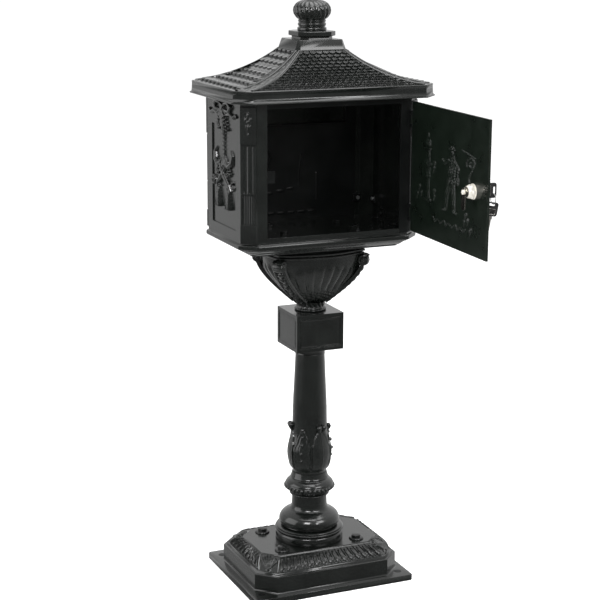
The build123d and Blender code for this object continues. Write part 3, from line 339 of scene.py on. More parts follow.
class Drawing:
    """A height map made of strokes; where two cross, the higher one shows."""

    def __init__(self, x, y):
        self.x, self.y, self.height = x, y, np.zeros_like(x)

    def stamp(self, height, mask):
        np.maximum(self.height, height * mask, out=self.height)

    def cord(self, height, points, radii):
        self.stamp(height, cord_along(self.x, self.y, points, radii))

    def bump(self, height, centre, size, power=2.0):
        self.stamp(height, bump_at(self.x, self.y, centre, size, power))


def raised(points, height, flip=False):
    """Points of a grid pushed out along its own normals by a height map."""
    across = np.gradient(points, axis=1)
    upward = np.gradient(points, axis=0)
    normal = np.cross(across, upward)
    normal /= np.maximum(np.linalg.norm(normal, axis=-1, keepdims=True), 1e-12)
    return points + normal * height[..., None] * (-1 if flip else 1)


def lathe(profile, steps=192, relief=None):
    """Turned surface from (radius, z); relief(angle, z) adds to the radius."""
    angle = np.arange(steps) * 2 * math.pi / steps
    radius = np.repeat(profile[:, :1], steps, axis=1)
    z = np.repeat(profile[:, 1:], steps, axis=1)
    turn = np.repeat(angle[None, :], len(profile), axis=0)
    if relief:
        radius = radius + relief(turn, z)
    return np.stack([radius * np.cos(turn), radius * np.sin(turn), z], axis=-1)


def turned(profile, steps, relief=None):
    return Shape().grid(lathe(profile, steps, relief), wrap=True)


def plan_line(width, depth, corner, per_side, per_corner):
    """A cut-corner rectangle walked anticlockwise from the middle of its right side."""
    w, d = width / 2, depth / 2
    corners = [(w, d - corner), (w - corner, d), (-w + corner, d), (-w, d - corner),
               (-w, -d + corner), (-w + corner, -d), (w - corner, -d), (w, -d + corner)]
    out = []
    for k in range(8):
        a, b = np.array(corners[k]), np.array(corners[(k + 1) % 8])
        count = per_corner if k % 2 == 0 else per_side
        out += [a + (b - a) * n / count for n in range(count)]
    return np.array(out)


def plan_loft(sections, per_side=1, per_corner=1):
    """Rings of points through (z, width, depth, corner) plans."""
    rings = []
    for z, width, depth, corner in sections:
        line = plan_line(width, depth, corner, per_side, per_corner)
        rings.append(np.column_stack([line, np.full(len(line), z)]))
    return np.array(rings)


def inset(section, wall):
    z, width, depth, corner = section
    return (z, width - 2 * wall, depth - 2 * wall, corner - (2 - math.sqrt(2)) * wall)


def outline(radius, z, steps, *ends):
    """Points given in millimetres in from a radius and up from a height, then any given whole."""
    return [(radius - inward * MM, z + up * MM) for inward, up in steps] + list(ends)


def curve(radius, z, steps, *ends, spacing=0.5):
    """A smooth profile through the points of an outline, with its spacing in millimetres."""
    return flowing(outline(radius, z, steps, *ends), spacing * MM)


def levels(plan, z, steps):
    """Sections of a loft given in millimetres up from a height and in from a plan."""
    return [(z + up * MM,) + inset(plan, wall * MM)[1:] for up, wall in steps]


def face_grid(origin, across, up, width, height, cell):
    """A flat grid from one corner, with its own x and y distances."""
    nx, ny = int(width / cell) + 1, int(height / cell) + 1
    x, y = np.meshgrid(np.linspace(0, width, nx), np.linspace(0, height, ny))
    points = (np.asarray(origin) + x[..., None] * np.asarray(across) + y[..., None] * np.asarray(up))
    return points, x, y


def from_edge(x, y):
    """How far each point of a face grid is from the nearest side of it."""
    return np.minimum(np.minimum(x, x.max() - x), np.minimum(y, y.max() - y))


# ---------------------------------------------------------------- places from the frame

base_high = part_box("base_casting")[1]
socle_low, socle_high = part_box("post_socle")
bell_low, bell_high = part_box("post_bell")
torus_low, torus_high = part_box("beaded_collar")
vase_low, vase_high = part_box("leaf_vase")
shaft_low, shaft_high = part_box("post_shaft")
collar_low, collar_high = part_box("shaft_collar")
block_low, block_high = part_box("capital_block")
neck_low, neck_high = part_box("bowl_neck")
bowl_low, bowl_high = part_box("bowl_shell")
rim_low, rim_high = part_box("bowl_rim")
pan_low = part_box("under_tray")[0]
tray_low, tray_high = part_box("floor_tray")
left_low, left_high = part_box("left_panel")
rear_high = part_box("rear_panel")[1]
roof_low, roof_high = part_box("roof_shell")
plinth_low, plinth_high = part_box("finial_plinth")
ball_low, ball_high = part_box("finial_ball")
door_low, door_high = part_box("door_panel")
joint_at = {joint["name"]: joint for joint in frame["record"]["behaviour"]["joints"]}
hinge_at = Vector(joint_at["door_hinge"]["pos_m"])
door_swing = math.radians(-joint_at["door_hinge"]["range_deg"][0])
lock_at = Vector(joint_at["lock_turn"]["pos_m"])
spare_at = Vector(joint_at["spare_key_swing"]["pos_m"])
# Carries a piece of the shut door, its lock or its keys to where it stands with the door open.
OPENED = Matrix.Translation(hinge_at) @ Matrix.Rotation(door_swing, 4, "Z") @ Matrix.Translation(-hinge_at)
closed_lock = OPENED.inverted() @ lock_at
closed_spare = OPENED.inverted() @ spare_at

CORNERS = ((1, 1), (-1, 1), (-1, -1), (1, -1))
CELL = 0.8 * MM
# The side of the post that the leaves of the vase are centred on.
VIEW_SIDE = math.radians(246.5)


# ---------------------------------------------------------------- post

def make_socle():
    z = socle_low[2]
    r = socle_high[0]
    steps = outline(r - MM, z, [(5, 0), (0.8, 0), (0, 1.2), (0, 14), (1.6, 16.5), (3.2, 17.4), (3.4, 18.4),
                                (-0.2, 19.2), (-1, 20.6), (-1, 22.2), (0.2, 23.3), (2.4, 23.6), (1.2, 24.4),
                                (0.9, 25.8), (2.2, 26.9), (14, 27)])
    turned(np.array(steps), 240).cast("socle_turning", "post_socle", sharp=42)


def make_bell():
    z, top, r = bell_low[2], bell_high[2], bell_high[0]
    foot = outline(r, z, [(12, 0), (7.5, 0.3), (8, 2.2)])
    body = curve(r, z, [(8, 2.2), (3, 4.4), (0.1, 10), (0.8, 17), (5.5, 24.5), (14, 30.5),
                        (21.5, 35), (24.6, 41), (25.4, 49)], (r - 26 * MM, top), spacing=1)
    profile = np.vstack([foot, body[1:]])
    turned(profile, 240).cast("bell_turning", "post_bell")


def make_torus_collar():
    z, top, r = torus_low[2], torus_high[2], torus_high[0]
    lower = curve(r, z, [(16, 0), (11.5, 0.6), (9.6, 2.6), (11.2, 4.8), (12.6, 6)])
    ring = curve(r, z, [(12.6, 6), (8, 9.5), (1.6, 15), (0.1, 21), (1.4, 26), (6, 31), (10.2, 33.6)])
    seat = curve(r, z, [(10.2, 33.6), (11.6, 35), (10.4, 37), (11.6, 39.4)], (r - 14 * MM, top))
    profile = np.vstack([lower, ring[1:], seat[1:]])
    eggs, beads = 34, 44

    def knob(angle, height, count, up, size):
        """One of a row of round knobs, so many to the turn."""
        return bump_at((angle * count / (2 * math.pi)) % 1.0 - 0.5, height - (z + up), (0, 0), size)

    def relief(angle, height):
        egg = knob(angle, height, eggs, 16.5 * MM, (0.40, 4.6 * MM))
        groove = stripe(height, z + 23.4 * MM, 0.7 * MM, 1.4 * MM)
        bead = knob(angle, height, beads, 3 * MM, (0.46, 2.2 * MM))
        return 3.2 * MM * egg - 0.8 * MM * groove + 0.9 * MM * bead - 2.1 * MM

    turned(profile, 720, relief).cast("beaded_torus", "beaded_collar", sharp=60)


LEAVES = 6


def leaf_phase(angle):
    """Which leaf an angle falls on, and how far round from its middle in radians."""
    turn = (angle - VIEW_SIDE - math.radians(38)) * LEAVES / (2 * math.pi)
    near = np.round(turn)
    return near.astype(int) % 2, (turn - near) * 2 * math.pi / LEAVES


def make_vase():
    z, top, bulb = vase_low[2], vase_high[2], vase_high[0]
    foot = curve(bulb, z, [(12, 0), (10.8, 3), (10.5, 9), (8.6, 14)], spacing=1)
    body = curve(bulb, z, [(8.6, 14), (5, 24), (2.6, 38), (1.8, 50), (3.4, 62), (6.6, 76),
                           (8.9, 88), (9.4, 100), (10, 114)], (bulb - 10.5 * MM, top), spacing=1)
    profile = np.vstack([foot, body[1:]])

    def relief(angle, height):
        kind, off = leaf_phase(angle)
        t = (height - (z + 12 * MM)) / (88 * MM)
        inside = (t > 0) & (t < 1)
        t = np.clip(t, 0, 1)
        broad = np.where(kind == 0, 0.60, 0.44)
        reach = broad * (1 - np.clip((t - 0.34) / 0.70, 0, 1) ** 2.6) * (1 - 0.35 * np.clip(0.34 - t, 0, 1))
        scallop = 1 + 0.05 * np.sin(t * math.pi * 8) * (t < 0.85)
        edge = reach * scallop - np.abs(off)
        blade = smoothstep(-0.01, 0.05, edge) * inside
        border = (1 - smoothstep(0.02, 0.07, np.abs(edge - 0.06))) * inside
        vein = (1 - smoothstep(0.0, 0.035, np.abs(off))) * inside
        ribs = 0.5 + 0.5 * np.cos(edge * 52)
        fade = smoothstep(0, 0.06, t) * (1 - smoothstep(0.94, 1.0, t))
        return fade * MM * (1.5 * blade + 0.9 * border + 0.7 * vein * (kind == 0) + 0.22 * ribs * blade
                            - 0.9 * (1 - blade) * (1 - smoothstep(0.0, 0.12, -edge)))

    shape = turned(profile, 480, relief)
    for k in range(LEAVES):
        middle = VIEW_SIDE + math.radians(38) + k * 2 * math.pi / LEAVES
        big = k % 2 == 0
        for side in ((-1, 1) if big else (0,)):
            turn = middle + side * math.radians(8.5)
            radial = np.array((math.cos(turn), math.sin(turn), 0))
            tangent = np.array((-radial[1], radial[0], 0))
            tip_z = z + (103 * MM if big else 99 * MM)
            reach = bulb - (5.4 * MM if big else 6.6 * MM)
            size = 5.9 * MM if big else 4.4 * MM
            shape.blob(radial * reach + (0, 0, tip_z), (size * 0.95, size * 0.9, size * 0.9),
                       (radial, tangent, (0, 0, 1)), 12, 18)
            curl = [radial * (bulb - 8.5 * MM + 4.2 * MM * math.sin(a))
                    + (0, 0, tip_z - 9 * MM + 11 * MM * a / 2) for a in np.linspace(0, 1.5, 8)]
            shape.tube(curl, 3.2 * MM, 12)
        if not big:
            for drop, size in ((14, 3.2), (30, 3.8), (47, 3.5), (62, 2.8)):
                radial = np.array((math.cos(middle), math.sin(middle), 0))
                height = z + 99 * MM - drop * MM
                out = float(np.interp(height, profile[:, 1], profile[:, 0])) + 1.9 * MM
                shape.blob(radial * out + (0, 0, height), (size * MM, size * MM, size * MM), rows=8, cols=12)
    shape.cast("leaf_vase_casting", "leaf_vase", sharp=55)


def make_shaft():
    z, top, r = shaft_low[2], shaft_high[2], shaft_high[0]
    neck = collar_high[0] - 4.9 * MM
    profile = curve(r, z, [(0, 0), (0.6, 20), (2.6, 60)], (neck, top), spacing=2)
    turned(profile, 200).cast("tapered_shaft", "post_shaft")
    z, top, r = collar_low[2], collar_high[2], collar_high[0]
    profile = curve(r, z, [(5.2, 0), (4.2, 1.2), (4, 3.2), (4.6, 5), (3.6, 10), (1.2, 14.5),
                           (0.1, 15.5)], (r, top), spacing=0.6)
    turned(profile, 200).cast("flared_collar", "shaft_collar")


def make_block():
    w, z0, z1 = block_high[0], block_low[2], block_high[2]
    shape = Shape()
    for k in range(4):
        turn = Matrix.Rotation(k * math.pi / 2, 3, "Z")
        across, out = np.array(turn @ Vector((1, 0, 0))), np.array(turn @ Vector((0, -1, 0)))
        start = out * w - across * w + (0, 0, z0)
        points, x, y = face_grid(start, across, (0, 0, 1), 2 * w, z1 - z0, CELL)
        border = from_edge(x, y)
        outer = stripe(border, 7.5 * MM, 0.5 * MM, 1.1 * MM)
        inner = stripe(border, 10.6 * MM, 0.4 * MM, 1.0 * MM)
        panel = smoothstep(10.6 * MM, 11.6 * MM, border)
        shape.grid(raised(points, -MM * (1.1 * outer + 1.0 * inner + 0.5 * panel)))
    for z, flip in ((z0, True), (z1, False)):
        shape.cap([(-w, -w, z), (w, -w, z), (w, w, z), (-w, w, z)], flip)
    shape.cast("panelled_block", "capital_block", sharp=45)


# ---------------------------------------------------------------- bowl

def make_neck():
    z, top, r = neck_low[2], neck_high[2], neck_high[0]
    profile = curve(r, z, [(2, 0), (0.8, 1.2), (0.6, 3.4), (3, 5.6), (4.4, 9), (3.2, 14)],
                    (r - 1.6 * MM, top))

    def relief(angle, height):
        swirl = np.sin(angle * 9 + (height - z) * 260)
        veil = smoothstep(z + 4.5 * MM, z + 8 * MM, height)
        return MM * (1.5 * np.abs(swirl) ** 0.7 - 0.9) * veil + 0.45 * MM * np.cos(angle * 30) * (1 - veil)

    turned(profile, 420, relief).cast("leafy_neck", "bowl_neck", sharp=70)


BOWL_W, BOWL_D = bowl_high[0], bowl_high[1]
BOWL_Z, BOWL_H = bowl_low[2], bowl_high[2] - bowl_low[2]
BOWL_FOOT = 25 * MM
CORNER_X, CORNER_Y = BOWL_W - 11 * MM, BOWL_D - 11 * MM
CORNER_TURN = math.atan2(CORNER_Y, CORNER_X)


def bowl_swell(rise):
    """How far the bowl has opened, 0 at its foot and 1 at its rim."""
    return np.sin(np.clip(rise, 0, 1) * math.pi / 2) ** 1.02


def bowl_plan(turn, swell, crown_x, crown_y):
    """The bowl's plan: a rectangle between its corners, each side swelling in a shallow arc."""
    half_w = BOWL_FOOT + (CORNER_X - BOWL_FOOT) * swell
    half_d = BOWL_FOOT + (CORNER_Y - BOWL_FOOT) * swell
    side = np.cos(turn) / np.maximum(np.abs(np.cos(turn)), 1e-9)
    face = np.sin(turn) / np.maximum(np.abs(np.sin(turn)), 1e-9)
    on_side = np.abs(np.tan(turn)) < math.tan(CORNER_TURN)
    across = np.where(on_side, np.tan(turn) / math.tan(CORNER_TURN) * side,
                      math.tan(CORNER_TURN) / np.tan(turn) * face)
    swellx = crown_x * swell * np.cos(across * math.pi / 2)
    swelly = crown_y * swell * np.cos(across * math.pi / 2)
    x = np.where(on_side, side * (half_w + swellx), across * half_w)
    y = np.where(on_side, across * half_d, face * (half_d + swelly))
    return x, y, on_side, across


def bowl_grid(rises, heights, crown=(10 * MM, 20 * MM), grow=0.0, steps=560):
    turn = (np.arange(steps) + 0.5) * 2 * math.pi / steps
    turn, rise = np.meshgrid(turn, rises)
    z = np.repeat(np.asarray(heights)[:, None], steps, axis=1)
    x, y, on_side, across = bowl_plan(turn, bowl_swell(rise), *crown)
    out = np.hypot(x, y)
    x, y = x * (1 + grow / out), y * (1 + grow / out)
    return np.stack([x, y, z], axis=-1), rise, across, on_side


def make_bowl():
    rises = np.linspace(0, 1, 84)
    points, rise, across, on_side = bowl_grid(rises, BOWL_Z + rises * BOWL_H)
    rays = np.where(on_side, 5.0, 8.0)
    flute = np.abs(np.sin(across * rays * math.pi / 2)) ** 0.7
    arch = 0.90 - 0.20 * across ** 2
    open_part = smoothstep(0.16, 0.34, rise) * (1 - smoothstep(arch - 0.16, arch, rise))
    ragged = 0.36 + 0.10 * np.abs(np.cos(across * 9))
    root = smoothstep(0.02, 0.10, rise) * (1 - smoothstep(0.20, ragged, rise))
    petals = np.abs(np.cos(across * rays * math.pi / 2)) ** 0.5
    lobes = np.abs(np.cos(rise * 46 + across * 7))
    height = MM * (3.0 * flute * open_part + (2.6 * petals + 1.6 * lobes) * root)
    skin = raised(points, height - 1.2 * MM)
    shape = Shape().grid(skin, wrap=True)
    shape.grid(np.array([skin[-1], points[-1] * (0.5, 0.5, 1)]), wrap=True)
    shape.cast("fluted_bowl", "bowl_shell", sharp=60)


def make_bowl_ribs():
    """Four straps of leaves up the corners, each ending in a scroll."""
    shape = Shape()
    half = 13.5 * MM
    reach_top = math.hypot(CORNER_X, CORNER_Y)
    rises = np.linspace(0.03, 0.95, 170)
    reach = BOWL_FOOT + (reach_top - BOWL_FOOT) * bowl_swell(rises)
    spine = np.column_stack([reach + 1.5 * MM, BOWL_Z + rises * BOWL_H])
    step = np.linalg.norm(np.diff(spine, axis=0), axis=1)
    along = np.concatenate([[0], np.cumsum(step)])
    tangent = np.gradient(spine, axis=0)
    tangent /= np.linalg.norm(tangent, axis=1, keepdims=True)
    outward = np.column_stack([tangent[:, 1], -tangent[:, 0]])
    u = np.linspace(-1.35, 1.35, 45)
    uu, ss = np.meshgrid(u, along)
    crest = np.clip(1 - np.maximum(np.abs(uu) - 1, 0) / 0.35, 0, 1)
    cords = bump_at(np.abs(uu), 0, (0.88, 0), (0.17, 1))
    pitch = 12.5 * MM
    phase = (ss / pitch) % 1.0
    flip = np.where((ss // pitch) % 2 > 0, -1, 1)
    curl = bump_at(uu, phase - 0.5 + 0.18 * flip * uu, (0, 0), (0.68, 0.5))
    dimple = bump_at(uu, phase - 0.5, (0.25 * flip, 0.05), (0.2, 0.2))
    height = MM * (4.4 * crest + 2.8 * cords + 4.6 * curl - 3.4 * dimple) - 1.6 * MM
    wide = np.clip(uu, -1, 1) * half
    radial = spine[:, 0][:, None] + outward[:, 0][:, None] * height
    rise_z = spine[:, 1][:, None] + outward[:, 1][:, None] * height
    strap = np.stack([radial, wide, rise_z], axis=-1)
    for sx, sy in CORNERS:
        turn = math.atan2(sy * CORNER_Y, sx * CORNER_X)
        spin = np.array(Matrix.Rotation(turn, 3, "Z"))
        shape.grid(strap @ spin.T)
        centre = np.array((reach_top + 1.5 * MM, 0, BOWL_Z + BOWL_H - 11.2 * MM))
        for side in (-1, 1):
            coil = spiral((0, 0), 0.6, 1.6, 1, 10.2 * MM, 2.4 * MM, 46)
            line = [spin @ (centre + np.array((cx, side * (8.4 * MM + 3.4 * MM * n / 45), cz)))
                    for n, (cx, cz) in enumerate(coil)]
            shape.tube(line, np.linspace(3.3 * MM, 2.2 * MM, len(line)), 12)
            shape.blob(spin @ (centre + np.array((0, side * 12.2 * MM, 0))), (2.9 * MM, 2.9 * MM, 2.9 * MM))
        drum = curve(0, 0, [(-8.6, -12), (-9.8, -9), (-11, 0), (-9.8, 9), (-8.6, 12)], spacing=1)
        drum = lathe(drum, 64, lambda angle, z: 0.5 * MM * np.cos(angle * 16))
        lying = drum[..., [0, 2, 1]] * (1, -1, 1)
        shape.grid((lying + centre) @ spin.T, wrap=True)
    shape.cast("leaf_ribs_and_scrolls", "bowl_ribs", sharp=60)


def make_bowl_rim():
    z, top = rim_low[2], rim_high[2]
    steps = [(-3, -0.4), (1.0, 0), (2.2, 1.4), (2.2, 3.6), (0.6, 4.6), (-1.8, 5.0), (-1.2, 5.8), (2.8, 6.6),
             (3.8, 8.2), (3.6, 9.8), (1.4, 10.8), (-1.2, 12.4), (-2.4, 15), (-2.6, (top - z) / MM)]
    rows = [bowl_grid([1.0], [z + up * MM], (9 * MM, 18 * MM), out * MM)[0][0] for out, up in steps]
    Shape().grid(np.array(rows), wrap=True).cast("lobed_rim", "bowl_rim", sharp=50)


# ---------------------------------------------------------------- trays

def make_trays():
    w, d = 2 * tray_high[0], 2 * tray_high[1]
    z = pan_low[2]
    base = (0, w, d, 29.5 * MM)
    ogee = flowing([(-0.1, 31), (0.2, 30), (1.6, 29.6), (2.4, 28.4), (3.0, 26.4), (5.6, 20.5), (9.6, 16),
                    (12.2, 11), (13.1, 7.4), (14.2, 6.4), (16, 5.4)], 0.7)
    shape = Shape().grid(plan_loft(levels(base, z, ogee)), wrap=True)
    shape.cap(plan_loft(levels(base, z, [(0, 31)]))[0], flip=True)
    shape.cast("ogee_pan", "under_tray", sharp=40)
    z, top = tray_low[2], tray_high[2]
    lip = flowing([(0, 6), (0.1, 1.6), (1.6, 0.2), (4.2, 0), (7, 0.2), (9.2, 1.4), (9.9, 3.2)], 0.5)
    seat = flowing([(9.9, 3.2), (10.6, 4.0), (12.4, 4.4), ((top - z) / MM, 4.5)], 0.6)
    rings = plan_loft(levels(base, z, np.vstack([lip, seat[1:]])))
    Shape().loft(rings, first=True).cast("beaded_tray", "floor_tray", sharp=40)


# ---------------------------------------------------------------- base

def make_base():
    """The foot: a flat flange, a plain wall, a ledge, the leafy slope and the top plate."""
    w, d, top = 2 * base_high[0], 2 * base_high[1], base_high[2]
    wall = (0, w - 32 * MM, d - 30 * MM, 34 * MM)
    plate = (top, w - 88 * MM, d - 116 * MM, 28 * MM)
    shape = Shape()
    flange = (0, w, d, 4 * MM)
    steps = [(12, -3.2), (12.5, -1.4), (13.8, -0.4), (16, 0), (43.6, 0), (45.2, 0.5), (46, 2), (46.2, 4.6),
             (47.6, 5.4), (49.6, 5.8), (51, 7), (51.2, 9.4)]
    rows = levels(flange, 0, [(0, 0), (10.6, 0), (11.7, 0.6), (12, 2)]) + levels(wall, 0, steps)
    shape.grid(plan_loft(rows), wrap=True)
    low, high = rows[-1], levels(plate, top, [(-1.6, -1.4)])[0]
    a, b = plan_loft([low])[0], plan_loft([high])[0]
    for k in range(8):
        p0, p1, q0, q1 = a[k], a[(k + 1) % 8], b[k], b[(k + 1) % 8]
        length, climb = np.linalg.norm(p1 - p0), np.linalg.norm((q0 + q1 - p0 - p1) / 2)
        u, v = np.meshgrid(np.linspace(0, 1, int(length / CELL)), np.linspace(0, 1, int(climb / CELL)))
        belly = np.sin(v * math.pi) * 2.2 * MM
        points = ((1 - v)[..., None] * (p0 + (p1 - p0) * u[..., None])
                  + v[..., None] * (q0 + (q1 - q0) * u[..., None]))
        if k % 2:
            count = round(length / (15.5 * MM))
            cell_u = (u * count) % 1.0 - 0.5
            tongue = bump_at(cell_u, v, (0, 0.42), (0.30, 0.42), 2.4)
            hollow = bump_at(cell_u, v, (0, 0.45), (0.10, 0.26))
            dart = bump_at(np.abs(cell_u), v, (0.5, 0.62), (0.10, 0.34))
            bead = bump_at(np.abs(cell_u), v, (0.5, 0.14), (0.13, 0.09))
            height = 4.6 * tongue - 2.0 * hollow + 3.4 * dart + 2.2 * bead
        else:
            fan = np.zeros_like(u)
            for leaf in np.linspace(-1.1, 1.1, 7):
                tip = (0.5 + 0.42 * math.sin(leaf), 0.10 + 0.80 * math.cos(leaf * 0.8))
                fan = np.maximum(fan, cord_along(u, v, [(0.5, 0.06), tip], [0.03, 0.085]))
            height = 5.0 * fan + 2.6 * bump_at(u, v, (0.5, 0.12), (0.14, 0.12))
        fade = (np.minimum(1, np.minimum(u, 1 - u) * length / (2 * MM))
                * np.minimum(1, np.minimum(v, 1 - v) * climb / MM))
        shape.grid(raised(points, (height * MM) * fade + belly - 0.8 * MM * fade))
    shape.loft(plan_loft(levels(plate, top, [(-1.6, -1.4), (-0.4, -0.4), (0, 0.8)])))
    shape.cast("leafy_base", "base_casting", sharp=42)
    # Each anchor hole is a low ring and a flat disc just over the flange in the darker coat: painted shade
    # for the depth of the hole.
    hole_shade = Shape()
    for sx in (-1, 1):
        for sy in (-1, 1):
            ring = lathe(np.array([(5 * MM, 12.05 * MM), (6.6 * MM, 12.3 * MM), (7.4 * MM, 12.05 * MM)]), 40)
            spot = (sx * (w / 2 - 21 * MM), sy * (d / 2 - 26 * MM), 0)
            hole_shade.grid(ring[::-1] + spot, wrap=True, flip=True)
            hole_shade.cap(lathe(np.array([(5 * MM, 12.15 * MM)]), 40)[0] + spot)
    hole_shade.make("anchor_hole_shade_rings", painted_shade_coat, "root", "painted_casting")


def make_bolt_flanges():
    """The dished washers under the four base bolt heads."""
    top = base_high[2]
    ring = [(-14.6, -0.2), (-14.6, 1.4), (-13.6, 2.8), (-11.4, 3.4), (-5, 3.6)]
    ring = curve(0, top, ring)
    dome = curve(0, top, [(-8.4, 8.0), (-6.5, 8.9), (-1.0, 9.3)])
    bolts_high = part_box("base_bolts")[1]
    reach_x, reach_y = bolts_high[0] - 9.2 * MM, bolts_high[1] - 8.7 * MM
    shape = Shape()
    for sx, sy in CORNERS:
        spot = (sx * reach_x, sy * reach_y, 0)
        shape.grid(lathe(ring, 48) + spot, wrap=True).loft(lathe(dome, 36) + spot)
    shape.make("bolt_flanges", fastener, "root", "painted_fastener", sharp=50)


# ---------------------------------------------------------------- roof

ROOF_W, ROOF_D, EAVE_Z, ROOF_TOP = roof_high[0], roof_high[1], roof_low[2], roof_high[2]
FASCIA_TOP = EAVE_Z + 22 * MM
LIP_TOP = FASCIA_TOP + 2 * MM
BAND_Z = ROOF_TOP - 19.4 * MM
SLOPE = BAND_Z - LIP_TOP
LIP_W, LIP_D = ROOF_W - 10 * MM, ROOF_D - 10 * MM
BAND_W, BAND_D = 52 * MM, 48.5 * MM
LIP_CORNER, BAND_CORNER = 24.5 * MM, 8 * MM
BOW = math.radians(17)


def slope_run(rise, run):
    """How far the hollow slope has come in at a height."""
    chord = math.atan2(SLOPE, run)
    radius = math.hypot(run, SLOPE) / (2 * math.sin(BOW))
    here = np.arccos(np.clip(math.cos(chord - BOW) - rise / radius, -1, 1))
    return radius * (np.sin(here) - math.sin(chord - BOW))


def slope_rises(rows):
    """Heights that are evenly spaced along the front slope."""
    fine = np.linspace(0, 1, 800) ** 2 * SLOPE
    run = slope_run(fine, LIP_D - BAND_D)
    along = np.concatenate([[0], np.cumsum(np.hypot(np.diff(run), np.diff(fine)))])
    return np.interp(np.linspace(0, along[-1], rows), along, fine), along[-1]


def shingles(x, s, width, height):
    """Round-ended tiles in staggered rows, thick at their lower edge."""
    row = np.floor(s / height)
    up = s / height - row
    across = (x / width + 0.5 * (row % 2)) % 1.0 - 0.5
    end = 0.42 * np.abs(across * 2) ** 2.4
    on_tile = smoothstep(-0.05, 0.07, up - end) * smoothstep(0.5, 0.44, np.abs(across))
    return on_tile * (1.0 - 0.62 * up)


def make_roof():
    shape = Shape()
    eave = (EAVE_Z, 2 * ROOF_W, 2 * ROOF_D, 30.4 * MM)
    fascia = [(0, 5), (0, 0.9), (0.8, 0), (2.6, 0.3), (3.6, 2.4), (5.2, 3.4), (10, 3.8), (15, 4.1),
              (20.2, 4.3), (20.9, 3.9), (22.6, 3.8), (23.6, 4.6), (24.0, 6.6), (24.0, 10.0)]
    shape.grid(plan_loft(levels(eave, EAVE_Z, fascia)), wrap=True)
    rises, climb = slope_rises(150)
    s = np.linspace(0, climb, len(rises))
    run_x, run_y = slope_run(rises, LIP_W - BAND_W), slope_run(rises, LIP_D - BAND_D)
    half_w, half_d = LIP_W - run_x, LIP_D - run_y
    corner = LIP_CORNER + (BAND_CORNER - LIP_CORNER) * run_x / run_x[-1]
    z = LIP_TOP + rises
    for front in (True, False):
        for sign in (-1, 1):
            reach = (half_w if front else half_d) - corner
            far = half_d if front else half_w
            cols = int(2 * reach[0] / (0.9 * MM))
            u = np.linspace(-1, 1, cols)
            x = reach[:, None] * u
            away, tall = (np.repeat(value[:, None], cols, 1) for value in (sign * far, z))
            points = np.stack([-sign * x, away, tall] if front else [away, sign * x, tall], -1)
            ss = np.repeat(s[:, None], cols, 1)
            edge = (reach[:, None] - np.abs(x))
            frame_line = 1 - smoothstep(1.4 * MM, 2.6 * MM, edge)
            tile_wide, tile_tall = (13.2 * MM, climb / 13.2) if front else (21 * MM, climb / 7.6)
            tiles = shingles(x, ss - 2 * MM, tile_wide, tile_tall)
            inside = smoothstep(2.0 * MM, 3.2 * MM, edge) * smoothstep(1.0 * MM, 2.4 * MM, ss) * smoothstep(
                climb, climb - 2.0 * MM, ss)
            height = MM * ((4.3 if front else 6.0) * tiles * inside + 1.6 * frame_line) - 2.6 * MM * inside
            shape.grid(raised(points, height))
    for sx, sy in CORNERS:
        first = np.column_stack([sx * half_w, sy * (half_d - corner), z])
        last = np.column_stack([sx * (half_w - corner), sy * half_d, z])
        v = np.linspace(0, 1, 44)
        points = first[:, None] * (1 - v)[:, None] + last[:, None] * v[:, None]
        width = corner[:, None] * math.sqrt(2)
        across = (v[None, :] - 0.5) * width
        ss = np.repeat(s[:, None], len(v), 1)
        edge = width / 2 - np.abs(across)
        rope = ridge(edge, 2.4 * MM, 2.4 * MM)
        tiles = shingles(across, ss, 9.5 * MM, 11 * MM) * smoothstep(4.6 * MM, 5.6 * MM, edge)
        points = raised(points, MM * (2.6 * rope + 0.9 * tiles - 0.4), flip=sx * sy < 0)
        shape.grid(points, flip=sx * sy < 0)
    band = (0, 2 * BAND_W, 2 * BAND_D, BAND_CORNER)
    rings = plan_loft(levels(band, BAND_Z, [(0, 0.4), (0, -0.9), (1.2, -0.9), (1.6, 0.5)])
                      + levels(band, ROOF_TOP, [(-1.0, 6.2), (-0.2, 6.8), (0, 8)]))
    shape.loft(rings)
    rings = plan_loft(levels(eave, EAVE_Z, [(0, 5)]) + levels(eave, LIP_TOP, [(-6, 11), (12, 70)])
                      + levels(band, BAND_Z, [(-6, 0)]))
    shape.grid(rings, wrap=True, flip=True)
    shape.cap(rings[-1], flip=True)
    box_top = EAVE_Z + 6 * MM
    wide, deep = -2 * left_low[0], 2 * rear_high[1]
    outer = (box_top, wide + 28 * MM, deep + 40 * MM, 30 * MM)
    inner = (box_top, wide - 57 * MM, deep - 57 * MM, 8 * MM)
    shape.grid(plan_loft([outer, inner]), wrap=True, flip=True)
    shape.grid(plan_loft(levels(inner, box_top, [(0, 0), (5, 0)])), wrap=True, flip=True)
    shape.cast("shingled_roof", "roof_shell", sharp=40)


